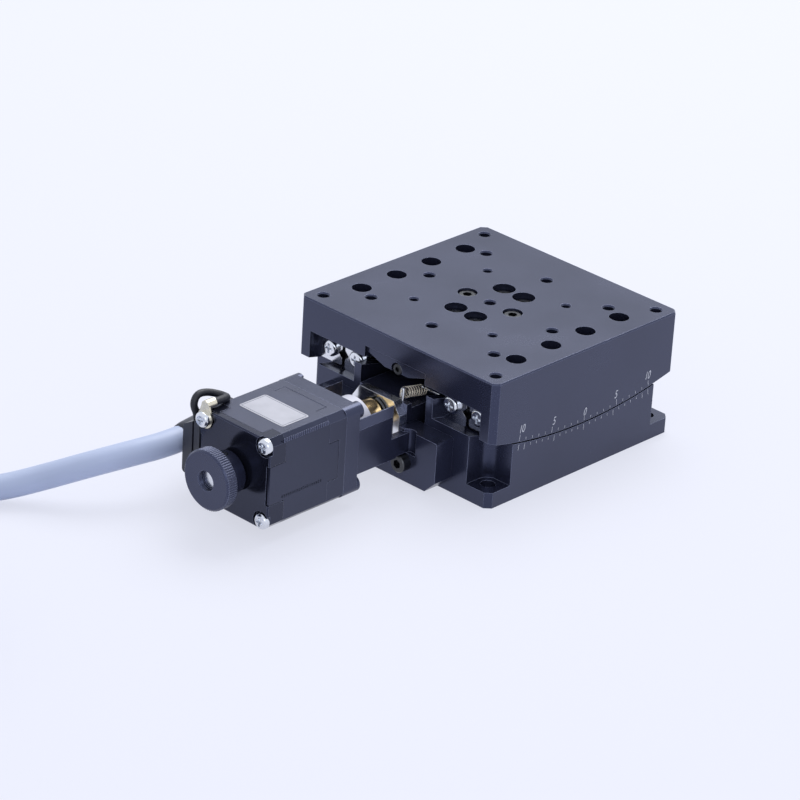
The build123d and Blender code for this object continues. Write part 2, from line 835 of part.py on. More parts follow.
def make_worm_bearing_inners():
    bore = shaft_radius + fit_clearance
    return group([ring_x(bearing_inner_edge, bore, x + 0.05, x + bearing_width)
                  for x in worm_bearing_places()])


def make_lock_nut():
    end = retainer_front_x - lock_nut_gap
    nut = ring_x(lock_nut_radius, shaft_radius + fit_clearance, end - lock_nut_width, end)
    slot = block(end - lock_nut_width - 1, end + 1, -0.6, 0.6,
                 drive_axis_z + lock_nut_radius - 0.8, drive_axis_z + lock_nut_radius + 1)
    return nut - [slot.rotate(drive_axis(), angle) for angle in (0, 90, 180, 270)]


def spring_post_place():
    return spring_start_x - spring_mean_radius + post_inset, spring_y


def make_spring():
    """The coil that takes up play, with its first hook round the upright post."""
    length = math.hypot(spring_end_x - spring_start_x, spring_end_z - spring_start_z)
    lean = math.degrees(math.atan2(spring_start_z - spring_end_z, spring_end_x - spring_start_x))
    path = Helix(length / spring_turns, length, spring_mean_radius)
    section = Plane(path @ 0, z_dir=path % 0) * Circle(spring_wire_radius)
    coil = sweep(section, path=path, is_frenet=True)
    return Pos(spring_start_x, spring_y, spring_start_z) * Rot(0, 90 + lean, 0) * coil


def make_spring_posts():
    x, y = spring_post_place()
    upright = rod_z(post_radius, carrier_top - 2.8, spring_start_z + spring_mean_radius, x, y)
    pin = rod_y(post_radius, -pit_half_width - rib_pin_length / 2 + 0.2,
                spring_y + spring_mean_radius, spring_end_x + spring_mean_radius, spring_end_z)
    return group([upright, pin])


def motor_screw_spots():
    half = motor_screw_spacing / 2
    return [(y, drive_axis_z + z) for y in (-half, half) for z in (-half, half)]


def make_bracket():
    """The foot on the base, the two walls beside the coupling and the motor's flange."""
    foot = block(foot_front_x, face_x, -foot_half_width, foot_half_width, foot_low, foot_high)
    long_edges = foot.edges().filter_by(Axis.X).group_by(Axis.Z)
    foot = chamfer(long_edges[0], foot_bottom_chamfer)
    top_edges = foot.edges().filter_by(Axis.X).group_by(Axis.Z)[-1]
    foot = fillet(top_edges, foot_edge_radius)
    for y in (-relief_y, relief_y):
        foot -= rod_z(relief_radius, relief_floor, foot_high + 1,
                      foot_front_x + relief_depth - relief_radius, y)
    walls = []
    flange_back = motor_front_x + motor_flange_thickness
    outline = [(wall_inner, wall_bottom), (wall_outer, wall_bottom), (wall_outer, wall_shoulder),
               (wall_inner, wall_top)]
    wall = Plane.YZ * make_face(Polyline(*outline, close=True))
    wall_end = foot_front_x - wall_end_gap
    wall = Pos(flange_back - 1, 0, 0) * extrude(wall, wall_end - flange_back + 1)
    slope = make_face(Polyline((wall_end, wall_inner), (wall_end, wall_outer + 0.01),
                               (wall_end - wall_end_slope, wall_outer + 0.01), close=True))
    wall -= extrude(slope, stage_height)
    low_wall = block(flange_back - 1, foot_front_x + 1, wall_inner, wall_outer, wall_bottom,
                     wall_low_top)
    for piece in (wall, low_wall):
        walls += both_sides(piece)
    half = motor_side / 2
    flange = block(motor_front_x, flange_back, -half, half, drive_axis_z - half,
                   drive_axis_z + half)
    corner_radius = half - motor_screw_spacing / 2
    flange = fillet(flange.edges().filter_by(Axis.X), corner_radius)
    for y, z in motor_screw_spots():
        flange += rod_x(corner_radius, motor_front_x, flange_back + motor_flange_boss, y, z)
    body = foot + walls + flange
    body -= block(flange_back - 0.001, foot_front_x + 0.001, -wall_inner, wall_inner, foot_low,
                  stage_height)
    body -= block(foot_front_x - 1, face_x + 1, -carrier_half_width - foot_slot_play,
                  carrier_half_width + foot_slot_play, foot_slot_floor, stage_height)
    body -= rod_x(pilot_radius + fit_clearance, motor_front_x - 1, motor_front_x + pilot_height + 0.2,
                  z=drive_axis_z)
    body -= rod_x(coupling_radius + 1, motor_front_x, flange_back + 1, z=drive_axis_z)
    for y, z in motor_screw_spots():
        body -= rod_x(motor_screw_radius + shank_clearance, motor_front_x - 1,
                      flange_back + motor_flange_boss - 0.8, y, z)
    for y, z in foot_screw_spots():
        body -= rod_x(m3_radius + shank_clearance, foot_front_x - 1, face_x + 1, y, z)
        body -= rod_x(m3_head_radius + head_clearance, foot_front_x - m3_head_height - 1,
                      foot_front_x, y, z)
    return body


def make_bracket_screws():
    screw = m3_screw(foot_thickness + foot_screw_grip)
    return group([Pos(foot_front_x, y, z) * Rot(0, -90, 0) * screw for y, z in foot_screw_spots()])


def motor_block(x_low, x_high):
    """A stretch of the motor's square body with its corners taken off."""
    half = motor_side / 2
    body = block(x_low, x_high, -half, half, drive_axis_z - half, drive_axis_z + half)
    return chamfer(body.edges().filter_by(Axis.X), motor_corner)


def stator_tabs(play, x_low, side_low, x_high):
    """The tongues of the stator that lie in the two caps, or the slots for them."""
    half = motor_side / 2
    tabs = []
    for width, low, angles in ((top_tab_width, x_low, (0, 180)), (side_tab_width, side_low, (90, 270))):
        tab = block(low, x_high, -width / 2 - play, width / 2 + play,
                    drive_axis_z + half - tab_depth - play, drive_axis_z + half + play)
        tabs += [tab.rotate(drive_axis(), angle) for angle in angles]
    return tabs


def motor_through_holes(body):
    for y, z in motor_screw_spots():
        body -= rod_x(motor_screw_radius + shank_clearance, motor_rear_x - 1, motor_front_x + 1, y, z)
    return body


def motor_bearing_places():
    return [stator_rear_x - motor_bearing_width, stator_front_x]


def make_front_cap():
    body = motor_block(stator_front_x, motor_front_x)
    body += rod_x(pilot_radius, motor_front_x, motor_front_x + pilot_height, z=drive_axis_z)
    body -= stator_tabs(tab_play, stator_front_x - 1, stator_front_x - 1,
                        stator_front_x + tab_length + tab_play)
    body -= rod_x(motor_bearing_outer + fit_clearance, stator_front_x - 1,
                  stator_front_x + motor_bearing_width, z=drive_axis_z)
    body -= rod_x(shaft_radius + carrier_bore_play, stator_front_x, motor_front_x + pilot_height + 1,
                  z=drive_axis_z)
    return motor_through_holes(body)


def make_stator():
    body = motor_block(stator_rear_x, stator_front_x)
    body += stator_tabs(0, stator_rear_x - tab_length, motor_rear_x + edge_chamfer,
                        stator_front_x + tab_length)
    body -= rod_x(rotor_radius + rotor_gap, stator_rear_x - 1, stator_front_x + 1, z=drive_axis_z)
    return motor_through_holes(body)


def make_rear_cap():
    body = motor_block(motor_rear_x, stator_rear_x)
    body = chamfer(body.faces().sort_by(Axis.X)[0].edges(), edge_chamfer)
    body -= stator_tabs(tab_play, stator_rear_x - tab_length - tab_play, motor_rear_x - 1,
                        stator_rear_x + 1)
    body -= rod_x(motor_bearing_outer + fit_clearance, stator_rear_x - motor_bearing_width,
                  stator_rear_x + 1, z=drive_axis_z)
    body -= rod_x(shaft_radius + carrier_bore_play, motor_rear_x - 1, stator_rear_x, z=drive_axis_z)
    for y, z in motor_screw_spots():
        body -= rod_x(motor_screw_pocket, motor_rear_x - 1, motor_rear_x + motor_screw_pocket_depth,
                      y, z)
    return motor_through_holes(body)


def make_motor_screws():
    seat = motor_rear_x + motor_screw_pocket_depth
    length = motor_front_x + motor_flange_thickness + motor_flange_boss - 1.2 - seat
    screw = pan_screw(motor_screw_radius, motor_screw_head_radius, motor_screw_head_height, length)
    screws = []
    for y, z in motor_screw_spots():
        x = motor_rear_x - lug_thickness if (y, z) == lug_spot() else seat
        screws.append(Pos(x, y, z) * Rot(0, -90, 0) * screw)
    return group(screws)


def make_motor_bearing_outers():
    inner = motor_bearing_inner_edge + running_clearance
    return group([ring_x(motor_bearing_outer, inner, x, x + motor_bearing_width)
                  for x in motor_bearing_places()])


def make_motor_bearing_inners():
    bore = shaft_radius + fit_clearance
    return group([ring_x(motor_bearing_inner_edge, bore, x + 0.05, x + motor_bearing_width - 0.05)
                  for x in motor_bearing_places()])


def make_rotor():
    middle = (stator_front_x + stator_rear_x) / 2
    rotor = rod_x(rotor_radius, middle - rotor_length / 2, middle + rotor_length / 2, z=drive_axis_z)
    return rotor - rod_x(shaft_radius, stator_rear_x, stator_front_x, z=drive_axis_z)


def make_motor_shaft():
    front = coupling_hub_x - shaft_end_gap
    return rod_x(shaft_radius, knob_front_x + knob_shaft_recess, front, z=drive_axis_z)


def drive_axis():
    return Axis((0, 0, drive_axis_z), (1, 0, 0))


def coupling_hub(radius, x_low, x_high, screw_x):
    hub = rod_x(radius, x_low, x_high, z=drive_axis_z)
    hub = chamfer(hub.edges().filter_by(GeomType.CIRCLE), 0.3)
    hub -= rod_x(shaft_radius + fit_clearance, x_low - 1, x_high + 1, z=drive_axis_z)
    hole = rod_z(coupling_screw_radius + fit_clearance, drive_axis_z, drive_axis_z + radius + 1,
                 screw_x, 0)
    return hub - hole.rotate(drive_axis(), coupling_screw_angle)


def coupling_screw_places():
    """The places along X of the set screws, one in each hub."""
    return [coupling_start_x + coupling_motor_hub_length * 0.3,
            coupling_end_x - coupling_worm_hub_length / 2]


def make_coupling_motor_hub():
    return coupling_hub(coupling_radius, coupling_start_x, coupling_hub_x,
                        coupling_screw_places()[0])


def make_coupling_worm_hub():
    return coupling_hub(coupling_worm_hub_radius, coupling_disc_x, coupling_end_x,
                        coupling_screw_places()[1])


def make_coupling_disc():
    return ring_x(coupling_worm_hub_radius + coupling_disc_rim, shaft_radius + coupling_disc_play,
                  coupling_hub_x, coupling_disc_x)


def set_screw(radius, length):
    """A grub screw along Z with a hexagon socket in its top."""
    body = rod_z(radius, 0, length)
    socket = Pos(0, 0, length) * RegularPolygon(radius * 0.5, 6, major_radius=False)
    return body - extrude(socket, -length / 2)


def make_coupling_screws():
    screw = set_screw(coupling_screw_radius, coupling_screw_length)
    low = drive_axis_z + shaft_radius + fit_clearance
    screws = [Pos(x, 0, low) * screw for x in coupling_screw_places()]
    return group([screw.rotate(drive_axis(), coupling_screw_angle) for screw in screws])


def knob_screw_x():
    return knob_hub_x - knob_hub_length / 2


def make_knob():
    disc = rod_x(knob_radius, knob_front_x, knob_disc_x, z=drive_axis_z)
    disc = chamfer(disc.edges().filter_by(GeomType.CIRCLE), 0.4)
    flute = rod_x(knob_flute_radius, knob_front_x - 1, knob_disc_x + 1,
                  z=drive_axis_z + knob_radius)
    step = 360 / knob_flute_count
    disc -= [flute.rotate(drive_axis(), i * step) for i in range(knob_flute_count)]
    body = disc + rod_x(knob_hub_radius, knob_disc_x, knob_hub_x, z=drive_axis_z)
    body -= rod_x(knob_face_radius, knob_front_x - 1, knob_front_x + knob_shaft_recess,
                  z=drive_axis_z)
    body -= rod_x(shaft_radius + fit_clearance, knob_front_x, knob_hub_x + 1, z=drive_axis_z)
    return body - rod_z(knob_screw_radius + fit_clearance, drive_axis_z,
                        drive_axis_z + knob_hub_radius + 1, knob_screw_x(), 0)


def make_knob_screw():
    low = drive_axis_z + shaft_radius + fit_clearance
    return Pos(knob_screw_x(), 0, low) * set_screw(knob_screw_radius, knob_hub_radius - shaft_radius)


def make_cable_box():
    """The cover on the motor's far side, with the round outlet that points back along it."""
    near = motor_side / 2
    outline = [(near, box_low), (box_far_y, box_low), (box_far_y, box_shoulder),
               (near, box_high)]
    profile = make_face(Polyline(*outline, close=True))
    profile = fillet(profile.vertices().group_by(Axis.X)[-1], box_edge)
    body = Pos(motor_rear_x, 0, 0) * extrude(Plane.YZ * profile, box_length)
    outlet = cable_radius + gland_wall + outlet_wall
    body += rod_x(outlet, outlet_x, box_end_x, outlet_y, outlet_z)
    body += block(outlet_x, box_end_x, box_far_y - 1, outlet_y, outlet_z - outlet,
                  outlet_z + outlet)
    body -= rod_x(cable_radius + gland_wall, outlet_x - 1, outlet_x + gland_depth, outlet_y, outlet_z)
    groove_y = near + box_groove_offset
    body -= block(motor_rear_x - 1, motor_rear_x + box_groove_depth, groove_y,
                  groove_y + box_groove_width, box_low + box_groove_low, box_high + 1)
    x, y, z = lead_points()[0]
    return body - rod_z(lead_diameter / 2 + fit_clearance, z, box_high + 1, x, y)


def make_gland():
    """The sleeve that holds the cable in the outlet."""
    outer = cable_radius + gland_wall
    body = rod_x(outer, outlet_x - gland_stand, outlet_x + gland_depth, outlet_y, outlet_z)
    body = chamfer(body.edges().group_by(Axis.X)[0], gland_wall * 0.5)
    return body - rod_x(cable_radius + cable_play, outlet_x - gland_stand - 1,
                        outlet_x + gland_depth + 1, outlet_y, outlet_z)


def arc_radii(points):
    """The radius of each corner: 0.45 of the shorter run over the tangent of half the turn."""
    radii = []
    for before, here, after in zip(points, points[1:], points[2:]):
        first = Vector(*here) - Vector(*before)
        second = Vector(*after) - Vector(*here)
        turn = math.radians(first.get_angle(second))
        radii.append(0.45 * min(first.length, second.length) / math.tan(turn / 2))
    return radii


def tube(points, diameter, name):
    """A round cord along straight runs and tangent arcs."""
    radii = arc_radii(points)
    print(name, "radii", [round(radius, 1) for radius in radii])
    path = FilletPolyline(*points, radius=radii)
    section = Plane(path @ 0, z_dir=path % 0) * Circle(diameter / 2)
    body = sweep(section, path=path)
    expected = math.pi * (diameter / 2) ** 2 * path.length
    print(name, "length", round(path.length, 1), "volume", round(body.volume, 1), "of",
          round(expected, 1))
    return body


def cable_points():
    """The cable from the outlet to the coil: beside the box, down to the floor and along it."""
    return [
        (outlet_x + gland_depth, outlet_y, outlet_z),
        (-95.0, outlet_y, outlet_z),
        (-105.6, 26.4, 16.7),
        (-115.6, 30.6, 15.3),
        (-126.0, 37.6, 12.2),
        (-134.8, 45.8, 8.0),
        (-144.0, 53.0, 4.8),
        (-155.9, 61.0, cable_radius),
        (-167.5, 67.2, cable_radius),
        (-181.0, 72.4, cable_radius),
        (-196.0, 75.8, cable_radius),
        (-214.0, 77.2, cable_radius),
        (-232.7, 76.6, cable_radius),
        coil_joint(coil_start_angle),
    ]


def coil_outer_lane():
    """The radius of the outermost lane of the coil."""
    return (coil_mean_diameter + (coil_lanes - 1) * cable_diameter) / 2


def coil_joint(angle):
    """A point of the coil's outermost lane, on its lowest layer."""
    turn = math.radians(angle)
    lane = coil_outer_lane()
    return (coil_x + lane * math.cos(turn), coil_y + lane * math.sin(turn), cable_radius)


def make_cable():
    return tube(cable_points(), cable_diameter, "cable")


def make_coil():
    """The put-away turns, side by side in each layer and flat on the floor."""
    inner = coil_outer_lane() - (coil_lanes - 1) * cable_diameter
    top = cable_radius + (coil_layers - 1) * cable_diameter
    body = rod_z(coil_outer_lane(), cable_radius, top, coil_x, coil_y)
    body -= rod_z(inner, cable_radius - 1, top + 1, coil_x, coil_y)
    for lane in range(coil_lanes):
        for layer in range(coil_layers):
            turn = Torus(inner + lane * cable_diameter, cable_radius)
            body += Pos(coil_x, coil_y, cable_radius + layer * cable_diameter) * turn
    return body


def on_tail(shape):
    """Puts a shape made along X on top of the coil, where the cable's end and the connector
    lie: square to the coil's radius, at the tail's lane."""
    turn = math.radians(coil_tail_angle)
    x = coil_x + coil_tail_lane * math.cos(turn)
    y = coil_y + coil_tail_lane * math.sin(turn)
    z = cable_radius + coil_layers * cable_diameter + coil_tail_play
    return Pos(x, y, z) * Rot(0, 0, coil_tail_angle + 90) * shape


def make_cable_tail():
    return on_tail(rod_x(cable_radius, coil_tail_start, hood_start))


def make_hood():
    """The connector's moulded hood, narrow at the cable and wide at the contacts."""
    start = hood_start
    low = -cable_radius
    half = hood_width / 2
    throat = hood_throat / 2
    outline = [(start, -throat), (start + hood_taper, -half), (start + hood_length, -half),
               (start + hood_length, half), (start + hood_taper, half), (start, throat)]
    body = extrude(make_face(Polyline(*outline, close=True)), hood_thickness)
    body = fillet(body.edges().filter_by(Axis.Z), hood_round)
    return on_tail(Pos(0, 0, low) * body)


def make_connector_shell():
    """The D-shaped metal shell on its flange."""
    face = hood_start + hood_length
    middle = hood_thickness / 2 - cable_radius
    flange = block(face, face + shell_flange, -hood_width / 2 + 0.5, hood_width / 2 - 0.5,
                   middle - hood_thickness / 2 + 1, middle + hood_thickness / 2 - 1)
    lean = shell_thickness * math.tan(math.radians(shell_slope))
    half = shell_width / 2
    outline = [(-half, middle + shell_thickness / 2), (half, middle + shell_thickness / 2),
               (half - lean, middle - shell_thickness / 2),
               (-half + lean, middle - shell_thickness / 2)]
    profile = make_face(Polyline(*outline, close=True))
    profile = fillet(profile.vertices(), 1.5)
    shell = Pos(face + shell_flange, 0, 0) * extrude(Plane.YZ * profile, shell_length)
    body = flange + shell
    for y in (-jack_screw_spacing / 2, jack_screw_spacing / 2):
        body -= rod_x(jack_screw_radius + shank_clearance, face - 1, face + shell_flange + 1, y, middle)
    return on_tail(body)


def make_jack_screws():
    face = hood_start + hood_length + shell_flange
    middle = hood_thickness / 2 - cable_radius
    shank = rod_x(jack_screw_radius, face - shell_flange + 0.05, face + jack_screw_reach, 0, middle)
    return on_tail(group([Pos(0, y, 0) * shank for y in (-jack_screw_spacing / 2,
                                                           jack_screw_spacing / 2)]))


def lug_spot():
    """The place of the motor screw that holds the earth lug."""
    half = motor_screw_spacing / 2
    return half, drive_axis_z + half


def lead_points():
    """The earth lead: up out of the cable box, out over it in a loop and back to the lug."""
    y, z = lug_spot()
    level = drive_axis_z
    return [
        (-101.4, 18.2, level + 4.8),
        (-101.4, 18.2, level + 9.6),
        (-103.2, 18.4, level + 13.0),
        (-101.4, 18.8, level + 15.8),
        (-97.6, 18.6, level + 15.4),
        (-94.4, 16.6, level + 14.4),
        (-94.6, 13.2, level + 14.8),
        (-97.0, y, z + lug_height),
        (motor_rear_x - lug_thickness + lug_barrel_length, y, z + lug_height),
    ]


def make_earth_lead():
    return tube(lead_points(), lead_diameter, "earth lead")


def make_earth_lug():
    """The ring terminal under the motor's far upper screw, with its barrel for the lead."""
    y, z = lug_spot()
    back = motor_rear_x - lug_thickness
    plate = rod_x(lug_outer_radius, back, back + lug_thickness, y, z)
    top = z + lug_height
    arm = [(y - lug_outer_radius, z), (y + lug_outer_radius, z), (y + lug_barrel_radius, top),
           (y - lug_barrel_radius, top)]
    arm = Plane.YZ * make_face(Polyline(*arm, close=True))
    body = plate + Pos(back, 0, 0) * extrude(arm, lug_thickness)
    body += rod_x(lug_barrel_radius, back, back + lug_barrel_length, y, top)
    return body - rod_x(motor_screw_radius + shank_clearance, back - 1, back + lug_thickness + 1, y, z)


nodes = {
    "base": make_base,
    "table": make_table,
    "outer_rail_left": make_outer_rail,
    "outer_rail_right": lambda: mirror(make_outer_rail(), about=Plane.XZ),
    "inner_rail_left": make_inner_rail,
    "inner_rail_right": lambda: mirror(make_inner_rail(), about=Plane.XZ),
    "outer_rail_screws": make_outer_rail_screws,
    "inner_rail_screws": make_inner_rail_screws,
    "outer_rail_end_screws": lambda: make_end_screws(outer_end_screw_y),
    "inner_rail_end_screws": lambda: make_end_screws(inner_end_screw_y),
    "roller_cage_left": make_cage,
    "roller_cage_right": lambda: mirror(make_cage(), about=Plane.XZ),
    "rollers_left": make_rollers,
    "rollers_right": lambda: mirror(make_rollers(), about=Plane.XZ),
    "worm_sector": make_sector,
    "sector_screws": make_sector_screws,
    "sector_side_screws": make_side_screws,
    "sector_end_screw": make_sector_end_screw,
    "worm": make_worm,
    "worm_bearing_outer_rings": make_worm_bearing_outers,
    "worm_bearing_inner_rings": make_worm_bearing_inners,
    "worm_lock_nut": make_lock_nut,
    "worm_carrier": make_carrier,
    "worm_carrier_screws": make_carrier_screws,
    "bearing_retainer": make_retainer,
    "bearing_retainer_screws": make_retainer_screws,
    "preload_spring": make_spring,
    "spring_posts": make_spring_posts,
    "motor_bracket": make_bracket,
    "bracket_screws": make_bracket_screws,
    "motor_front_cap": make_front_cap,
    "motor_stator": make_stator,
    "motor_rear_cap": make_rear_cap,
    "motor_screws": make_motor_screws,
    "motor_bearing_outer_rings": make_motor_bearing_outers,
    "motor_bearing_inner_rings": make_motor_bearing_inners,
    "motor_rotor": make_rotor,
    "motor_shaft": make_motor_shaft,
    "coupling_motor_hub": make_coupling_motor_hub,
    "coupling_disc": make_coupling_disc,
    "coupling_worm_hub": make_coupling_worm_hub,
    "coupling_set_screws": make_coupling_screws,
    "hand_knob": make_knob,
    "knob_set_screw": make_knob_screw,
    "cable_box": make_cable_box,
    "cable_gland": make_gland,
    "cable": make_cable,
    "cable_coil": make_coil,
    "cable_tail": make_cable_tail,
    "connector_hood": make_hood,
    "connector_shell": make_connector_shell,
    "connector_jack_screws": make_jack_screws,
    "earth_lead": make_earth_lead,
    "earth_lug": make_earth_lug,
}

os.makedirs("parts", exist_ok=True)
for name, make in nodes.items():
    export_step(make(), f"parts/{name}.step")
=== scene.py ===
"""Dresses the motorised goniometer stage: finishes, scale, cable, small hardware and studio."""
import json
import math

import bmesh
import bpy
import numpy as np
from bpy.props import FloatProperty, FloatVectorProperty, IntProperty, PointerProperty
from bpy.types import Operator, Panel, PropertyGroup
from mathutils import Matrix, Vector


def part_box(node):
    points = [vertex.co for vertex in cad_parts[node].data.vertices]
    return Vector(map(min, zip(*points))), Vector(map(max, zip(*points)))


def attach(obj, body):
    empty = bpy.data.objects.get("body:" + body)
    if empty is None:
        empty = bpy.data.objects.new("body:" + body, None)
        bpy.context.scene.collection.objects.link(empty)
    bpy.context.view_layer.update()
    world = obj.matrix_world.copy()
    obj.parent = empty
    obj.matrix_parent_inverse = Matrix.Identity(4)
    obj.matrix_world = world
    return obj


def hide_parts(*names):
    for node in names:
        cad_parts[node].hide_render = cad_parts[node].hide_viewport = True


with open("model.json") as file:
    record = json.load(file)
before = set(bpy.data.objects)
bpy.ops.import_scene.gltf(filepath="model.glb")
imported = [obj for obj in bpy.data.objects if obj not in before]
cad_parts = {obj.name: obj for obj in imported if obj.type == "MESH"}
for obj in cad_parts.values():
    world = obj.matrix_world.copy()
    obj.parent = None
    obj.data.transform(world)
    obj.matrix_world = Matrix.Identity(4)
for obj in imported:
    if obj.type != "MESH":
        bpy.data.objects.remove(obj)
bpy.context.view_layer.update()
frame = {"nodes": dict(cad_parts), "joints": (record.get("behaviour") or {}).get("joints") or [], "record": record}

bl_info = {
    "name": "Goniometer Stage",
    "version": (1, 0, 0),
    "blender": (4, 5, 0),
    "location": "3D View > Sidebar > Goniometer",
    "description": "Finishes, scale, cable and small hardware of a motorised goniometer stage",
    "category": "Object",
}

MM = 0.001
NODES = frame["nodes"]
SLOTS = {entry["node"]: entry["material_slot"] for entry in frame["record"]["subparts"]}
JOINTS = {joint["name"]: joint for joint in frame["joints"]}
PIVOT_Z = JOINTS["table_tilt"]["pos_m"][2]
DRIVE_Z = JOINTS["worm_spin"]["pos_m"][2]


# Shader graphs

class Value:
    """A socket of a shader graph that can stand in a sum, a product or a comparison."""

    def __init__(self, graph, link):
        self.graph = graph
        self.link = link

    def maths(self, operation, *others):
        values = [self, *others]
        inputs = {i: value for i, value in enumerate(values)}
        return self.graph.node("ShaderNodeMath", {"operation": operation}, inputs)

    def __add__(self, other):
        return self.maths("ADD", other)

    def __radd__(self, other):
        return self.maths("ADD", other)

    def __sub__(self, other):
        return self.maths("SUBTRACT", other)

    def __rsub__(self, other):
        return self.maths("MULTIPLY", -1.0).maths("ADD", other)

    def __mul__(self, other):
        return self.maths("MULTIPLY", other)

    def __rmul__(self, other):
        return self.maths("MULTIPLY", other)

    def __gt__(self, other):
        return self.maths("GREATER_THAN", other)

    def __lt__(self, other):
        return self.maths("LESS_THAN", other)


# Noise keeps mostly between these values, so they are stretched to its whole range.
NOISE_LOW, NOISE_HIGH = 0.3, 0.7
# How far the eased normal leans, as one less the cosine, where the painted edge highlight begins and where it is
# full.
HIGHLIGHT_LOW, HIGHLIGHT_HIGH = 0.03, 0.2
# The colour of the painted highlight laid along edges.
EDGE_HIGHLIGHT_COLOUR = (0.26, 0.28, 0.38)
DYE_TINT = (0.55, 0.62, 1.0)
GLASS_IOR = 1.5


def rgba(colour, factor=1.0):
    return (colour[0] * factor, colour[1] * factor, colour[2] * factor, 1.0)


class Graph:
    """The node graph of one finish, or of the world."""

    def __init__(self, owner):
        self.owner = owner
        owner.use_nodes = True
        self.tree = owner.node_tree
        self.tree.nodes.clear()

    def node(self, kind, settings=None, inputs=None, output=0):
        """A node of any kind: its settings are made first, then its inputs are set or linked."""
        node = self.tree.nodes.new(kind)
        for key, value in (settings or {}).items():
            setattr(node, key, value)
        for key, value in (inputs or {}).items():
            if isinstance(value, Value):
                self.tree.links.new(value.link, node.inputs[key])
            else:
                node.inputs[key].default_value = value
        return Value(self, node.outputs[output])

    def place(self):
        """Object coordinates, in metres."""
        return self.node("ShaderNodeTexCoord", output="Object")

    def along(self, axis):
        """The object coordinate along one axis: 0 for X, 1 for Y, 2 for Z."""
        return self.node("ShaderNodeSeparateXYZ", inputs={0: self.place()}, output=axis)

    def stretched(self, scale):
        """Object coordinates, scaled by a different factor along each axis."""
        return self.node("ShaderNodeMapping", {"vector_type": "POINT"},
                         {"Vector": self.place(), "Scale": scale})

    def noise(self, vector, scale, detail=2.0, roughness=0.5):
        return self.node("ShaderNodeTexNoise", None,
                         {"Vector": vector, "Scale": scale, "Detail": detail,
                          "Roughness": roughness})

    def spread(self, value, low, high):
        """Stretches a noise value about its middle, held between low and high."""
        return self.node("ShaderNodeMapRange", {"clamp": True},
                         {"Value": value, "From Min": NOISE_LOW, "From Max": NOISE_HIGH,
                          "To Min": low, "To Max": high})

    def mix(self, factor, first, second):
        settings = {"data_type": "RGBA"}
        return self.node("ShaderNodeMix", settings, {0: factor, 6: first, 7: second}, output=2)

    def bump(self, height, strength, distance, normal):
        return self.node("ShaderNodeBump", None,
                         {"Height": height, "Strength": strength, "Distance": distance,
                          "Normal": normal})

    def eased_edge(self, radius):
        """A normal that turns smoothly round an edge, as if it were rounded by the radius."""
        return self.node("ShaderNodeBevel", {"samples": 4}, {"Radius": radius})

    def worn(self, base, radius):
        """The base colour with a painted highlight on its edges: lighter where the eased normal leans
        away from the face's own, by one less their dot product."""
        plain = self.node("ShaderNodeNewGeometry", output="Normal")
        lean = self.node("ShaderNodeVectorMath", {"operation": "DOT_PRODUCT"},
                         {0: self.eased_edge(radius), 1: plain}, output="Value")
        # The share of painted edge highlight, from how far the eased normal leans.
        edge_highlight_share = self.node("ShaderNodeMapRange", {"clamp": True},
                         {"Value": 1.0 - lean, "From Min": HIGHLIGHT_LOW, "From Max": HIGHLIGHT_HIGH})
        return self.mix(edge_highlight_share, base, rgba(EDGE_HIGHLIGHT_COLOUR))

    def clouded(self, cloud, colour, low, high):
        """The colour, drifting between a darker and a lighter share of itself."""
        return self.mix(self.spread(cloud, 0.0, 1.0), rgba(colour, low), rgba(colour, high))

    def surface(self, shader, kind="ShaderNodeOutputMaterial"):
        out = self.tree.nodes.new(kind)
        self.tree.links.new(shader.link, out.inputs["Surface"])
        return self.owner

    def finish(self, constants, linked):
        """Joins a Principled shader to the output: plain numbers first, then what varies."""
        return self.surface(self.node("ShaderNodeBsdfPrincipled", None, {**constants, **linked}))


def dyed(level):
    """The constants of a dark skin that tints what it mirrors."""
    return {"Specular IOR Level": level, "Specular Tint": rgba(DYE_TINT), "IOR": GLASS_IOR}


def anodised_finish(name, colour, roughness):
    """Anodised aluminium: a fine even grain, faint clouds of gloss and eased edges lit by a painted highlight."""
    graph = Graph(bpy.data.materials.new(name))
    place = graph.place()
    grain = graph.noise(place, 2600.0, 3.0)
    cloud = graph.noise(place, 45.0, 4.0)
    # The edges get a painted highlight: a lighter colour along them.
    worn = graph.worn(graph.clouded(cloud, colour, 0.85, 1.2), 0.26 * MM)
    rough = graph.spread(cloud, roughness * 0.85, roughness * 1.15) + (grain - 0.5) * 0.08
    bump = graph.bump(grain, 0.10, 0.03 * MM, graph.eased_edge(0.22 * MM))
    return graph.finish(dyed(0.9), {"Base Color": worn, "Roughness": rough, "Normal": bump})


def metal_finish(name, colour, roughness, stretch, scale, bite):
    """Bare metal with fine tool lines: noise drawn out along the axis with the small factor."""
    graph = Graph(bpy.data.materials.new(name))
    lines = graph.noise(graph.stretched(stretch), scale, 3.0, 0.6)
    smudge = graph.noise(graph.place(), 70.0, 4.0)
    base = graph.clouded(lines, colour, 0.86, 1.0)
    rough = graph.spread(smudge, roughness * 0.8, roughness * 1.25) + (lines - 0.5) * 0.12
    bump = graph.bump(lines, bite, 0.02 * MM, graph.eased_edge(0.15 * MM))
    return graph.finish({"Metallic": 1.0, "IOR": GLASS_IOR},
                        {"Base Color": base, "Roughness": rough, "Normal": bump})


def paint_finish(name, colour, roughness, level=0.8):
    """Satin paint with a light orange-peel skin and a painted highlight on its edges."""
    graph = Graph(bpy.data.materials.new(name))
    place = graph.place()
    peel = graph.noise(place, 900.0, 2.0)
    cloud = graph.noise(place, 60.0, 4.0)
    rough = graph.spread(cloud, roughness * 0.85, roughness * 1.2)
    # The edges get a painted highlight: a lighter colour along them.
    worn = graph.worn(graph.clouded(cloud, colour, 0.85, 1.2), 0.2 * MM)
    bump = graph.bump(peel, 0.12, 0.04 * MM, graph.eased_edge(0.25 * MM))
    return graph.finish(dyed(level), {"Base Color": worn, "Roughness": rough, "Normal": bump})


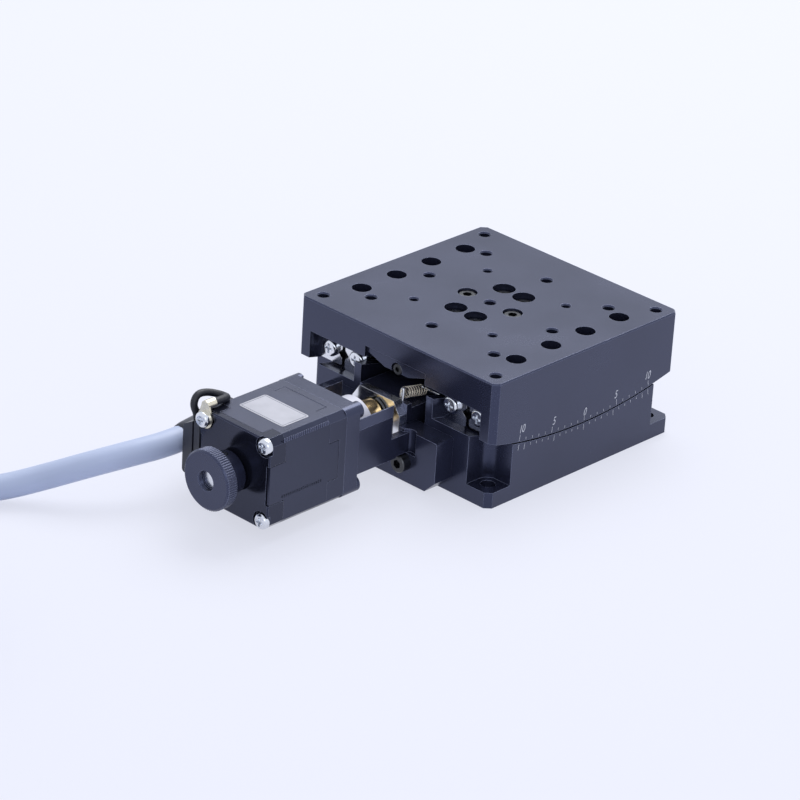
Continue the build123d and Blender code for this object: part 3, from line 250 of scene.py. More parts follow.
def lamination_finish(name, colour, roughness, pitch):
    """A stack of thin punched sheets: a fine ridge for each sheet along X."""
    graph = Graph(bpy.data.materials.new(name))
    ridge = (graph.along(0) * (2 * math.pi / pitch)).maths("SINE")
    cloud = graph.noise(graph.place(), 120.0, 4.0)
    base = graph.clouded(cloud, colour, 0.8, 1.25)
    rough = graph.spread(cloud, roughness * 0.85, roughness * 1.2)
    bump = graph.bump(ridge, 0.12, 0.04 * MM, graph.eased_edge(0.2 * MM))
    return graph.finish(dyed(0.8), {"Base Color": base, "Roughness": rough, "Normal": bump})


def plastic_finish(name, colour, roughness, grain_scale, bite):
    """Moulded plastic or cable jacket with a fine grain."""
    graph = Graph(bpy.data.materials.new(name))
    place = graph.place()
    grain = graph.noise(place, grain_scale, 3.0)
    cloud = graph.noise(place, 40.0, 3.0)
    base = graph.clouded(cloud, colour, 0.93, 1.05)
    rough = graph.spread(grain, roughness * 0.9, roughness * 1.1)
    bump = graph.bump(grain, bite, 0.05 * MM, graph.eased_edge(0.2 * MM))
    return graph.finish({"IOR": 1.48}, {"Base Color": base, "Roughness": rough, "Normal": bump})


BORDER_FROM, BORDER_TO = 0.5 * MM, 0.75 * MM


def label_finish(name, colour, line_colour, low, high):
    """Silver film with a printed border just inside the edge. low and high are its corners, and
    the distance to the nearest edge is half the side less the distance from the middle."""
    graph = Graph(bpy.data.materials.new(name))
    inset_x, inset_y = ((b - a) / 2 - (graph.along(axis) - (a + b) / 2).maths("ABSOLUTE")
                        for axis, (a, b) in enumerate(zip(low, high)))
    inset = inset_x.maths("MINIMUM", inset_y)
    border = (inset > BORDER_FROM) * (inset < BORDER_TO)
    cloud = graph.noise(graph.place(), 260.0, 3.0)
    film = graph.clouded(cloud, colour, 0.94, 1.04)
    base = graph.mix(border, film, rgba(line_colour))
    rough = graph.spread(cloud, 0.30, 0.38)
    return graph.finish({"Metallic": 0.35, "IOR": GLASS_IOR},
                        {"Base Color": base, "Roughness": rough})


# Shapes

def ring_mesh(name, points, cap=False):
    """A mesh from an array of points, whose rows are rings: each ring is joined to the next and
    its last point to its first. cap closes the first and the last ring with one face each. The
    faces are turned outwards."""
    rows, columns = points.shape[:2]
    index = np.arange(rows * columns).reshape(rows, columns)
    index = np.hstack([index, index[:, :1]])
    quads = np.stack([index[:-1, :-1], index[1:, :-1], index[1:, 1:], index[:-1, 1:]], axis=-1)
    faces = quads.reshape(-1, 4).tolist()
    if cap:
        faces.append(np.arange(columns).tolist())
        faces.append((np.arange(columns) + (rows - 1) * columns)[::-1].tolist())
    mesh = bpy.data.meshes.new(name)
    mesh.from_pydata(points.reshape(-1, 3).tolist(), [], faces)
    mesh.validate()
    face_outwards(mesh)
    return mesh


SAME_PLACE = 1e-7


def face_outwards(mesh):
    """Merges doubles and turns every face of a closed mesh outwards."""
    shape = bmesh.new()
    shape.from_mesh(mesh)
    bmesh.ops.remove_doubles(shape, verts=shape.verts, dist=SAME_PLACE)
    bmesh.ops.recalc_face_normals(shape, faces=shape.faces)
    shape.to_mesh(mesh)
    shape.free()


def add_piece(name, mesh, body, material, smooth=True):
    """Puts a finished mesh into the scene as a piece that rides on a body."""
    if smooth:
        mesh.shade_smooth()
    piece = bpy.data.objects.new(name, mesh)
    bpy.context.scene.collection.objects.link(piece)
    mesh.materials.append(material)
    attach(piece, body)
    return piece


# A direction that no tube here starts along, to square its first ring with.
START_ACROSS = (0.3, 0.2, 0.93)


def tube_points(path, radius, sides):
    """A tube round a path: each ring is turned from the last by the least turn that keeps it
    square to the path, so that the tube doesn't twist. radius is one number, or one per ring."""
    tangents = np.gradient(path, axis=0)
    tangents /= np.linalg.norm(tangents, axis=1)[:, None]
    side = np.cross(tangents[0], START_ACROSS)
    side /= np.linalg.norm(side)
    first = [side]
    for tangent in tangents[1:]:
        side = side - tangent * side.dot(tangent)
        side = side / np.linalg.norm(side)
        first.append(side)
    first = np.array(first)
    second = np.cross(tangents, first)
    turn = np.linspace(0, 2 * math.pi, sides, endpoint=False)
    radius = np.broadcast_to(radius, len(path))
    ring = first[:, None, :] * np.cos(turn)[None, :, None]
    ring = ring + second[:, None, :] * np.sin(turn)[None, :, None]
    return path[:, None, :] + ring * radius[:, None, None]


def revolve_points(profile, axis_point, axis, sides):
    """A profile of (along, radius) pairs turned about an axis: along runs on the axis."""
    axis = Vector(axis).normalized()
    first = axis.orthogonal().normalized()
    second = axis.cross(first)
    along, radius = profile.T
    turn = np.linspace(0, 2 * math.pi, sides, endpoint=False)
    circle = np.outer(np.cos(turn), first) + np.outer(np.sin(turn), second)
    base = np.array(axis_point)[None, :] + np.outer(along, axis)
    return base[:, None, :] + radius[:, None, None] * circle[None, :, :]


# A cord's spline: its order, its steps between two points, and the steps of its round section.
CORD_ORDER, CORD_STEPS, CORD_ROUND_STEPS = 3, 6, 5


def spline_curve(name, points, radius, material):
    """A round cord along a smooth spline with the points as its control points."""
    curve = bpy.data.curves.new(name, "CURVE")
    curve.dimensions = "3D"
    spline = curve.splines.new("NURBS")
    spline.points.add(len(points) - 1)
    for target, point in zip(spline.points, points):
        target.co = (*point, 1.0)
    spline.order_u = CORD_ORDER
    spline.use_endpoint_u = True
    spline.resolution_u = CORD_STEPS
    curve.bevel_depth = radius
    curve.bevel_resolution = CORD_ROUND_STEPS
    curve.use_fill_caps = True
    curve.materials.append(material)
    cord = bpy.data.objects.new(name, curve)
    bpy.context.scene.collection.objects.link(cord)
    return cord


# Sizes and colours that a user may change

class GoniometerFinishes(PropertyGroup):
    anodised_colour: FloatVectorProperty(
        name="Anodised Colour", description="Colour of the table, base and bracket",
        subtype="COLOR", size=3, default=(0.014, 0.0155, 0.029), min=0.0, max=1.0)
    anodised_roughness: FloatProperty(
        name="Anodised Roughness", description="How matt the anodised faces are",
        subtype="FACTOR", default=0.24, min=0.0, max=1.0)
    motor_colour: FloatVectorProperty(
        name="Motor Colour", description="Colour of the motor's caps and stack",
        subtype="COLOR", size=3, default=(0.012, 0.013, 0.022), min=0.0, max=1.0)
    cable_colour: FloatVectorProperty(
        name="Cable Colour", description="Colour of the cable's jacket",
        subtype="COLOR", size=3, default=(0.44, 0.50, 0.665), min=0.0, max=1.0)
    steel_colour: FloatVectorProperty(
        name="Steel Colour", description="Colour of the rails and screws",
        subtype="COLOR", size=3, default=(0.78, 0.80, 0.84), min=0.0, max=1.0)
    brass_colour: FloatVectorProperty(
        name="Brass Colour", description="Colour of the coupling's hub on the worm",
        subtype="COLOR", size=3, default=(0.86, 0.62, 0.30), min=0.0, max=1.0)
    floor_colour: FloatVectorProperty(
        name="Floor Colour", description="Colour of the floor and the backdrop",
        subtype="COLOR", size=3, default=(0.879, 0.896, 1.0), min=0.0, max=1.0)


class GoniometerScale(PropertyGroup):
    table_step: FloatProperty(
        name="Table Division", description="Angle between two marks on the table",
        subtype="ANGLE", default=math.radians(1.0))
    base_step: FloatProperty(
        name="Vernier Division", description="Angle between two marks on the base",
        subtype="ANGLE", default=math.radians(0.9))
    table_marks: IntProperty(
        name="Table Marks", description="Marks on the table to each side of zero", default=10)
    base_marks: IntProperty(
        name="Vernier Marks", description="Marks on the base to each side of zero", default=11)
    mark_width: FloatProperty(
        name="Mark Width", description="Width of a mark", subtype="DISTANCE", unit="LENGTH",
        default=0.16 * MM)
    long_mark: FloatProperty(
        name="Long Mark", description="Length of every fifth mark", subtype="DISTANCE",
        unit="LENGTH", default=1.8 * MM)
    short_mark: FloatProperty(
        name="Short Mark", description="Length of the other marks", subtype="DISTANCE",
        unit="LENGTH", default=0.8 * MM)
    mark_inset: FloatProperty(
        name="Mark Inset", description="Gap between the marks and the curved edge",
        subtype="DISTANCE", unit="LENGTH", default=0.4 * MM)
    figure_height: FloatProperty(
        name="Figure Height", description="Height of the numbers", subtype="DISTANCE",
        unit="LENGTH", default=2.6 * MM)


class GoniometerCable(PropertyGroup):
    diameter: FloatProperty(
        name="Cable Diameter", description="Outer diameter of the cable", subtype="DISTANCE",
        unit="LENGTH", default=7.6 * MM)
    coil_diameter: FloatProperty(
        name="Coil Diameter", description="Mean diameter of the put-away turns",
        subtype="DISTANCE", unit="LENGTH", default=80.0 * MM)
    lead_diameter: FloatProperty(
        name="Lead Diameter", description="Outer diameter of the earth lead",
        subtype="DISTANCE", unit="LENGTH", default=2.2 * MM)


def stage_finishes():
    return bpy.context.scene.goniometer_finishes


def stage_scale():
    return bpy.context.scene.goniometer_scale


def stage_cable():
    return bpy.context.scene.goniometer_cable


# Finishes of the CAD nodes

FINISH_NAMES = {
    "black_anodised": "Black Anodised", "bright_steel": "Ground Steel",
    "screw_steel": "Screw Steel", "dark_steel": "Dark Steel",
    "bare_aluminium": "Turned Aluminium", "brass": "Turned Brass",
    "motor_black": "Motor Black", "black_plastic": "Black Plastic",
    "cable_grey": "Cable Jacket", "lead_black": "Lead Sleeve",
    "retainer_plastic": "Cage Plastic", "white_resin": "White Resin",
}
# How much the noise of bare metal is drawn out along each axis.
GROUND_ALONG_X = (0.02, 1.0, 1.0)
DRAWN_ALONG_Z = (1.0, 1.0, 0.2)
TURNED_ABOUT_X = (1.0, 0.05, 0.05)
EVEN = (1.0, 1.0, 1.0)
SHEET_THICKNESS = 0.5 * MM
LUG_COLOUR = (0.86, 0.79, 0.62)


def make_finishes():
    """One material for each slot of the record."""
    look = stage_finishes()
    steel = look.steel_colour
    metals = (
        ("bright_steel", steel, 0.22, GROUND_ALONG_X, 3000.0, 0.25),
        ("screw_steel", steel, 0.16, DRAWN_ALONG_Z, 1500.0, 0.15),
        ("dark_steel", rgba(steel, 0.11), 0.3, EVEN, 1500.0, 0.25),
        ("bare_aluminium", (0.88, 0.89, 0.92), 0.2, TURNED_ABOUT_X, 4000.0, 0.25),
        ("brass", look.brass_colour, 0.18, TURNED_ABOUT_X, 4000.0, 0.25),
    )
    plastics = (
        ("black_plastic", (0.022, 0.024, 0.036), 0.38, 1800.0, 0.15),
        ("cable_grey", look.cable_colour, 0.42, 500.0, 0.05),
        ("lead_black", (0.010, 0.011, 0.018), 0.5, 900.0, 0.1),
        ("retainer_plastic", (0.7, 0.66, 0.52), 0.4, 1500.0, 0.1),
        ("white_resin", (0.62, 0.62, 0.70), 0.45, 2000.0, 0.06),
    )
    finishes = {
        "black_anodised": anodised_finish(FINISH_NAMES["black_anodised"], look.anodised_colour,
                                          look.anodised_roughness),
        "motor_black": paint_finish(FINISH_NAMES["motor_black"], look.motor_colour, 0.3),
    }
    for slot, *values in metals:
        finishes[slot] = metal_finish(FINISH_NAMES[slot], *values)
    for slot, *values in plastics:
        finishes[slot] = plastic_finish(FINISH_NAMES[slot], *values)
    return finishes


def give_finish(node, material):
    mesh = NODES[node].data
    mesh.materials.clear()
    mesh.materials.append(material)


def finish_of(slot):
    return bpy.data.materials[FINISH_NAMES[slot]]


class GONIOMETER_OT_finishes(Operator):
    """Give every machined piece its finish"""
    bl_idname = "goniometer.finishes"
    bl_label = "Finishes"

    def execute(self, context):
        finishes = make_finishes()
        for node, slot in SLOTS.items():
            give_finish(node, finishes[slot])
        look = stage_finishes()
        stack = lamination_finish("Motor Stack", look.motor_colour, 0.32, SHEET_THICKNESS)
        give_finish("motor_stator", stack)
        gloss = paint_finish("Motor Rear Cap", rgba(look.motor_colour, 0.6), 0.13, 0.6)
        give_finish("motor_rear_cap", gloss)
        plated = metal_finish("Plated Lug", LUG_COLOUR, 0.2, EVEN, 900.0, 0.25)
        give_finish("earth_lug", plated)
        give_finish("worm_carrier", finishes["black_anodised"])
        return {"FINISHED"}


# Cable and earth lead

CABLE_ROUTE = [
    (-84.7, 25.7, 17.4), (-95.0, 25.7, 17.4), (-105.6, 26.4, 16.7), (-115.6, 30.6, 15.3),
    (-126.0, 37.6, 12.2), (-134.8, 45.8, 8.0), (-144.0, 53.0, 4.8), (-155.9, 61.0, 3.8),
    (-167.5, 67.2, 3.8), (-181.0, 72.4, 3.8), (-196.0, 75.8, 3.8), (-214.0, 77.2, 3.8),
    (-232.7, 76.6, 3.8),
]
COIL_MIDDLE = (-242.0, 28.0)
COIL_START = 95.0
COIL_TURNS = 4.95
POINTS_PER_TURN = 20
# Turns wound, lane (-1 inner, 0 middle, 1 outer) and layer at which the cable changes its way.
COIL_STEPS = np.array([
    (0.0, 1, 0), (0.6, 1, 0), (1.0, 0, 0), (1.6, 0, 0), (2.0, -1, 0), (2.3, -1, 0), (2.6, -1, 1),
    (3.0, -1, 1), (3.3, 0, 1), (4.0, 0, 1), (4.3, 1, 1), (4.5, 1, 1), (4.85, 1, 2),
    (COIL_TURNS, 1, 2),
])
# The end swings inwards on top of the turns, into the connector that lies on them.
TAIL_ROUTE = [
    (-243.5, 76.0, 19.05), (-254.6, 73.2, 19.05), (-264.2, 67.0, 19.05), (-271.3, 58.0, 19.05),
    (-275.0, 47.1, 19.05), (-275.0, 40.0, 19.05),
]
# The boot: where it begins and ends on X, how far it stands over the cable there, and its lip.
BOOT_FROM, BOOT_TO = -90.2, -99.5
BOOT_WALL, BOOT_TAPER, BOOT_LIP = 1.1, 0.7, 0.25
BOOT_SIDES = 32


def coil_points():
    """The put-away turns: a circle whose radius and height follow the steps, lane by lane. The
    control points stand outside the circle by one over the cosine of half their step, so that
    the smooth line between them keeps the lane."""
    cable = stage_cable()
    diameter = cable.diameter / MM
    count = round(COIL_TURNS * POINTS_PER_TURN)
    turns = np.linspace(0.0, COIL_TURNS, count + 1)
    lane = np.interp(turns, COIL_STEPS[:, 0], COIL_STEPS[:, 1])
    layer = np.interp(turns, COIL_STEPS[:, 0], COIL_STEPS[:, 2])
    half_step = math.pi * COIL_TURNS / count
    radius = (cable.coil_diameter / MM / 2 + lane * diameter) / math.cos(half_step)
    angle = math.radians(COIL_START) + 2 * math.pi * turns
    return np.stack([COIL_MIDDLE[0] + radius * np.cos(angle),
                     COIL_MIDDLE[1] + radius * np.sin(angle), diameter * (layer + 0.5)], 1)


def read_route(cord):
    """The smooth line of a curve, read before it gets its thickness."""
    bpy.context.view_layer.update()
    mesh = bpy.data.meshes.new_from_object(cord)
    line = np.empty(len(mesh.vertices) * 3)
    mesh.vertices.foreach_get("co", line)
    bpy.data.meshes.remove(mesh)
    return line.reshape(-1, 3)


class GONIOMETER_OT_cable(Operator):
    """Lay the cable from its gland to the put-away coil and the connector"""
    bl_idname = "goniometer.cable"
    bl_label = "Cable"

    def execute(self, context):
        cable = stage_cable()
        route = np.vstack([CABLE_ROUTE, coil_points(), TAIL_ROUTE]) * MM
        cord = spline_curve("cable_run", route, 0.0, finish_of("cable_grey"))
        line = read_route(cord)
        cord.data.bevel_depth = cable.diameter / 2
        self.add_boot(line)
        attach(cord, "base_body")
        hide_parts("cable", "cable_coil", "cable_tail")
        return {"FINISHED"}

    def add_boot(self, line):
        """A tapered rubber sleeve round the cable's first visible stretch. Its rings stand on
        the cable's line, and its radius falls evenly, with a rounded lip at the end."""
        first = int(np.argmax(line[:, 0] < BOOT_FROM * MM))
        last = int(np.argmax(line[:, 0] < BOOT_TO * MM))
        path = line[first:last + 1]
        share = np.linspace(0.0, 1.0, len(path))
        radius = stage_cable().diameter / 2 + (BOOT_WALL - BOOT_TAPER * share) * MM
        radius[-1] -= BOOT_LIP * MM
        mesh = ring_mesh("cable_boot", tube_points(path, radius, BOOT_SIDES), cap=True)
        boot = add_piece("cable_boot", mesh, "base_body", finish_of("black_plastic"))


LEAD_ROUTE = [
    (-101.4, 18.2, 23.4), (-101.4, 18.2, 28.2), (-103.2, 18.4, 31.6), (-101.4, 18.8, 34.4),
    (-97.6, 18.6, 34.0), (-94.4, 16.6, 33.0), (-94.6, 13.2, 33.4), (-97.0, 11.75, 34.45),
    (-101.4, 11.75, 34.45),
]


class GONIOMETER_OT_earth_lead(Operator):
    """Lead the black earth wire from the cable box to its lug"""
    bl_idname = "goniometer.earth_lead"
    bl_label = "Earth Lead"

    def execute(self, context):
        route = [Vector(p) * MM for p in LEAD_ROUTE]
        lead = spline_curve("earth_wire", route, stage_cable().lead_diameter / 2,
                            finish_of("lead_black"))
        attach(lead, "base_body")
        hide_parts("earth_lead")
        return {"FINISHED"}


# Scale

BOX_FACES = np.array([(0, 1, 2, 3), (7, 6, 5, 4), (0, 4, 5, 1), (1, 5, 6, 2), (2, 6, 7, 3),
                      (3, 7, 4, 0)])
# The corners of a plate's front: which side of its middle, and which end of its length.
PLATE_CORNERS = ((-1, 0), (1, 0), (1, 1), (-1, 1))
INK_THICKNESS = 0.02 * MM
INK_COLOUR = (0.62, 0.63, 0.68)
LONG_EVERY = 5
# The figures: the number and its middle on X and Z.
FIGURES = ((0, 0.0, 19.0), (5, 13.6, 20.4), (5, -13.6, 20.4), (10, 27.6, 22.3),
           (10, -27.6, 22.3))
# The figures' form: their height as a share of the font's, their slant, spacing and narrowing.
FIGURE_SHARE, FIGURE_SLANT, FIGURE_SPACING, FIGURE_WIDTH = 0.72, 0.28, 0.95, 0.72
# How far the base's curved edge lies below the table's.
EDGE_GAP = 0.5 * MM


def plates(name, fronts, proud):
    """A mesh of thin plates square to Y: fronts holds four corners for each, in a plane that the
    plate stands out of by proud, and into as far."""
    thick = np.array([0.0, proud, 0.0])
    points = np.concatenate([fronts - thick, fronts + thick], axis=1).reshape(-1, 3)
    faces = (BOX_FACES[None] + 8 * np.arange(len(fronts))[:, None, None]).reshape(-1, 4)
    mesh = bpy.data.meshes.new(name)
    mesh.from_pydata(points.tolist(), [], faces.tolist())
    face_outwards(mesh)
    return mesh


def arc_marks(name, radius, way, step, count, offset, material, body):
    """Marks across an arc about the tilt axis: mark i stands at i steps from the bottom and runs
    from the given radius by its length, towards the axis when way is -1. Each is a thin plate."""
    scale = stage_scale()
    face_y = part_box("table")[0].y
    numbers = np.arange(-count, count + 1)
    angles = numbers * step
    ends = np.abs(numbers) == count
    long_ones = (numbers % LONG_EVERY == 0) | (ends & (count % LONG_EVERY != 0))
    lengths = np.where(long_ones, scale.long_mark, scale.short_mark)
    start = radius + way * offset
    corners = []
    half = scale.mark_width / 2
    for across, along in PLATE_CORNERS:
        r = start + way * lengths * along
        x = r * np.sin(angles) + across * half * np.cos(angles)
        z = PIVOT_Z - r * np.cos(angles) + across * half * np.sin(angles)
        corners.append(np.stack([x, np.full_like(x, face_y), z], axis=-1))
    mesh = plates(name, np.stack(corners, axis=1), INK_THICKNESS)
    piece = add_piece(name, mesh, body, material, smooth=False)


def plate_row(name, middles, width, low, high, face_y, proud):
    """A row of upright plates on a face square to Y: each has the given width about its middle
    on X, and runs from low to high."""
    across, along = np.array(PLATE_CORNERS).T
    x = middles[:, None] + across * width / 2
    y = np.full_like(x, face_y)
    z = np.broadcast_to(low + along * (high - low), x.shape)
    return plates(name, np.stack([x, y, z], axis=-1), proud)


def figure(text, x, z, height):
    """A slanted number on the scale face, centred at x and z."""
    curve = bpy.data.curves.new(f"figure_{text}", "FONT")
    curve.body = text
    curve.size = height / FIGURE_SHARE
    curve.shear = FIGURE_SLANT
    curve.space_character = FIGURE_SPACING
    curve.align_x = "CENTER"
    curve.align_y = "CENTER"
    curve.extrude = INK_THICKNESS
    holder = bpy.data.objects.new("figure", curve)
    bpy.context.scene.collection.objects.link(holder)
    bpy.context.view_layer.update()
    mesh = bpy.data.meshes.new_from_object(holder)
    bpy.data.objects.remove(holder)
    narrow = Matrix.Diagonal((FIGURE_WIDTH, 1.0, 1.0, 1.0))
    upright = Matrix.Rotation(math.radians(90), 4, "X")
    face_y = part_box("table")[0].y
    mesh.transform(Matrix.Translation((x, face_y, z)) @ upright @ narrow)
    return mesh


class GONIOMETER_OT_scale(Operator):
    """Mark the degrees on the table and the vernier on the base"""
    bl_idname = "goniometer.scale"
    bl_label = "Scale"

    def execute(self, context):
        scale = stage_scale()
        ink = plastic_finish("Scale Ink", INK_COLOUR, 0.5, 2000.0, 0.1)
        table_edge = PIVOT_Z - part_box("table")[0].z
        base_edge = table_edge + EDGE_GAP
        arc_marks("scale_marks", table_edge, -1, scale.table_step, scale.table_marks,
                  scale.mark_inset, ink, "table_body")
        arc_marks("vernier_marks", base_edge, 1, scale.base_step, scale.base_marks,
                  scale.mark_inset, ink, "base_body")
        for number, x, z in FIGURES:
            mesh = figure(str(number), x * MM, z * MM, scale.figure_height)
            side = "left" if x < 0 else "right"
            piece = add_piece(f"scale_figure_{number}_{side}", mesh, "table_body", ink, False)
        return {"FINISHED"}


# Small hardware

SPRING_WIRE = 0.19 * MM
SPRING_TURNS = 8
SPRING_STEPS = 24
SPRING_SIDES = 10
SPRING_COLOUR = (0.66, 0.60, 0.50)


class GONIOMETER_OT_spring(Operator):
    """Wind the small bright spring with its two hooks"""
    bl_idname = "goniometer.spring"
    bl_label = "Preload Spring"

    def execute(self, context):
        low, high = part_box("preload_spring")
        wire = SPRING_WIRE
        radius = (high.y - low.y) / 2 - wire
        y = (low.y + high.y) / 2
        start = np.array([low.x, y, high.z - radius - wire])
        end = np.array([high.x, y, low.z + radius + wire])
        share = np.linspace(0, 1, SPRING_TURNS * SPRING_STEPS + 1)
        turn = share * SPRING_TURNS * 2 * math.pi
        axis = (end - start) / np.linalg.norm(end - start)
        up = np.array([-axis[2], 0, axis[0]])
        side = np.array([0, 1, 0])
        coil = start + share[:, None] * (end - start)
        coil = coil + radius * (np.cos(turn)[:, None] * up + np.sin(turn)[:, None] * side)
        hook = np.linspace(0, math.pi, SPRING_STEPS // 2)[1:, None]
        inwards = radius * (np.cos(hook) - 1) * up
        outwards = radius * np.sin(hook) * axis
        first = coil[0] + inwards - outwards
        last = coil[-1] + inwards + outwards
        path = np.vstack([first[::-1], coil, last])
        mesh = ring_mesh("spring_wire", tube_points(path, wire, SPRING_SIDES), cap=True)
        wire_steel = metal_finish("Spring Wire", SPRING_COLOUR, 0.16, EVEN, 900.0, 0.25)
        piece = add_piece("spring_wire", mesh, "base_body", wire_steel)
        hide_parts("preload_spring")
        return {"FINISHED"}


# The knob's section: distance along the shaft from its outer face, and radius.
KNOB_PROFILE = np.array([
    (1.8, 2.5), (1.8, 2.9), (0.25, 2.9), (0.0, 3.15), (0.0, 5.5), (0.0, 8.5), (0.12, 8.72),
    (0.45, 8.95), (0.55, 9.2), (1.5, 9.2), (2.8, 9.2), (3.65, 9.2), (3.75, 8.95), (4.08, 8.72),
    (4.2, 8.5), (4.2, 6.9), (4.35, 6.5), (4.6, 6.4), (9.3, 6.4), (9.6, 6.3), (9.7, 6.1),
    (9.7, 2.52),
])
KNURL_RIDGES = 76
KNURL_STEPS = 8
KNURL_FROM_RADIUS = 9.0 * MM
KNURL_DEPTH = 0.28 * MM
# A power under one makes the ridges broad and the grooves narrow.
KNURL_POWER = 0.7


class GONIOMETER_OT_knob(Operator):
    """Knurl the hand knob at the motor's rear"""
    bl_idname = "goniometer.knob"
    bl_label = "Hand Knob"

    def execute(self, context):
        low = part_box("hand_knob")[0]
        profile = KNOB_PROFILE * MM
        sides = KNURL_RIDGES * KNURL_STEPS
        points = revolve_points(profile, (low.x, 0, DRIVE_Z), (1, 0, 0), sides)
        turn = np.linspace(0, KNURL_RIDGES * 2 * math.pi, sides, endpoint=False)
        wave = np.abs(np.sin(turn / 2)) ** KNURL_POWER
        depth = np.where(profile[:, 1] > KNURL_FROM_RADIUS, KNURL_DEPTH, 0.0)
        centre = np.array([0, 0, DRIVE_Z])
        outward = (points - centre) * (0, 1, 1)
        outward /= np.linalg.norm(outward, axis=2)[:, :, None]
        points = points - outward * (depth[:, None] * (1 - wave)[None, :])[:, :, None]
        mesh = ring_mesh("knurled_knob", points)
        piece = add_piece("knurled_knob", mesh, "worm_body", finish_of("black_anodised"), False)
        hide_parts("hand_knob")
        return {"FINISHED"}


# The label's corners on X and Y.
LABEL_LOW, LABEL_HIGH = (-95.0 * MM, -9.6 * MM), (-84.3 * MM, 8.4 * MM)
LABEL_CORNER = 0.9 * MM
LABEL_CORNER_POINTS = 7
FILM_COLOUR, LINE_COLOUR = (0.40, 0.40, 0.44), (0.12, 0.13, 0.17)
# The label's rings from its foot up: height over the motor, and inset from its outline.
LABEL_RINGS = ((0.0, 0.0), (0.06 * MM, 0.0), (0.08 * MM, 0.02 * MM))


class GONIOMETER_OT_label(Operator):
    """Stick the blank silver label on the motor"""
    bl_idname = "goniometer.label"
    bl_label = "Motor Label"

    def execute(self, context):
        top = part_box("motor_stator")[1].z
        low, high = np.array(LABEL_LOW), np.array(LABEL_HIGH)
        middle, half = (low + high) / 2, (high - low) / 2
        turn = np.linspace(0, math.pi / 2, LABEL_CORNER_POINTS)
        outline = []
        for quarter, side in enumerate(((1, 1), (-1, 1), (-1, -1), (1, -1))):
            angle = turn + quarter * math.pi / 2
            centre = middle + np.array(side) * (half - LABEL_CORNER)
            outline.append(centre + LABEL_CORNER * np.stack([np.cos(angle), np.sin(angle)], 1))
        outline = np.vstack(outline)
        rings = []
        for height, inset in LABEL_RINGS:
            flat = middle + (outline - middle) * (1 - inset / half[0])
            rings.append(np.column_stack([flat, np.full(len(flat), top + height)]))
        mesh = ring_mesh("motor_label", np.array(rings), cap=True)
        film = label_finish("Label Film", FILM_COLOUR, LINE_COLOUR, LABEL_LOW, LABEL_HIGH)
        piece = add_piece("motor_label", mesh, "base_body", film, False)
        return {"FINISHED"}


# The rows on the stack's side: the first mark's X, the step, and for each row its count, low and
# high end on Z, width and how far it stands out.
STACK_FIRST, STACK_STEP = -98.6, 0.85
RIDGE_ROW = (21, 31.0, 32.3, 0.42, 0.10)
DIMPLE_ROW = (19, 13.4, 14.4, 0.40, 0.02)


class GONIOMETER_OT_stack_marks(Operator):
    """Mark the punched stack's side with its row of notches, lightened by a painted highlight, and its row of lock
    dimples, dark plates of painted shade
    """
    bl_idname = "goniometer.stack_marks"
    bl_label = "Stack Marks"

    def execute(self, context):
        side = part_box("motor_stator")[0].y
        colour = stage_finishes().motor_colour
        # The notches: the motor colour made five times lighter, a painted highlight.
        ridge = paint_finish("Stack Ridge", rgba(colour, 5.0), 0.3)
        # The dimples: the motor colour darkened, matt and with little gloss, painted shade standing for the pits.
        dimple_shade = paint_finish("Stack Dimple", rgba(colour, 0.15), 0.7, 0.1)
        for name, row, material in (("stack_ridges", RIDGE_ROW, ridge),
                                    ("stack_dimples", DIMPLE_ROW, dimple_shade)):
            count, low, high, width, proud = row
            middles = STACK_FIRST + STACK_STEP * np.arange(count)
            mesh = plate_row(name, middles * MM, width * MM, low * MM, high * MM, side,
                             proud * MM)
            piece = add_piece(name, mesh, "base_body", material, False)
        return {"FINISHED"}


# Studio

CAMERA_AZIMUTH = math.radians(-47.344)
CAMERA_ELEVATION = math.radians(26.333)
CAMERA_ROLL = math.radians(3.549)
CAMERA_PLACE = (-813.41, -715.60, 541.91)
FOCAL_PIXELS = 4017.47
PICTURE_PIXELS = 800
SENSOR = 36.0
FAR_CLIP = 20.0
FLOOR_HALF = 6.0
# The floor and the sky glow for rays of the camera and of mirrors, and are dimmer for others.
PAPER_SHARE, GLOW_SHARE = 0.8, 0.7
SKY_COLOUR = (0.86, 0.90, 1.0, 1.0)
SKY_STRENGTH, SKY_SEEN_MORE = 0.75, 0.25
# Each lamp: name, place, what it points at, size, power in watts and colour.
LAMPS = (
    ("Key", (0.5, 0.25, 1.0), (0.0, 0.0, 0.02), (0.9, 0.9), 11.0, (1.0, 1.0, 1.0)),
    ("Fill", (-0.9, -0.9, 0.6), (-0.03, 0.0, 0.02), (0.6, 0.6), 1.6, (0.88, 0.92, 1.0)),
)


def camera_turn():
    """The camera's axes from its azimuth, elevation and roll."""
    a, e, r = CAMERA_AZIMUTH, CAMERA_ELEVATION, CAMERA_ROLL
    back = Vector((math.sin(a) * math.cos(e), -math.cos(a) * math.cos(e), math.sin(e)))
    right = Vector((math.cos(a), math.sin(a), 0.0))
    up = back.cross(right)
    turned_right = right * math.cos(r) + up * math.sin(r)
    turned_up = up * math.cos(r) - right * math.sin(r)
    return Matrix((turned_right, turned_up, back)).transposed()


def add_lamp(name, place, target, size, power, colour):
    lamp = bpy.data.lights.new(name, "AREA")
    lamp.shape = "RECTANGLE"
    lamp.size, lamp.size_y = size
    lamp.energy = power
    lamp.color = colour
    holder = bpy.data.objects.new(name, lamp)
    bpy.context.scene.collection.objects.link(holder)
    holder.location = place
    direction = Vector(target) - Vector(place)
    holder.rotation_euler = direction.to_track_quat("-Z", "Y").to_euler()


def looked_at(graph):
    """One for rays of the camera and of mirrored and clear faces, and zero for other rays."""
    camera, glossy, clear = (graph.node("ShaderNodeLightPath", output=name)
                             for name in ("Is Camera Ray", "Is Glossy Ray",
                                          "Is Transmission Ray"))
    return camera.maths("MAXIMUM", glossy).maths("MAXIMUM", clear)


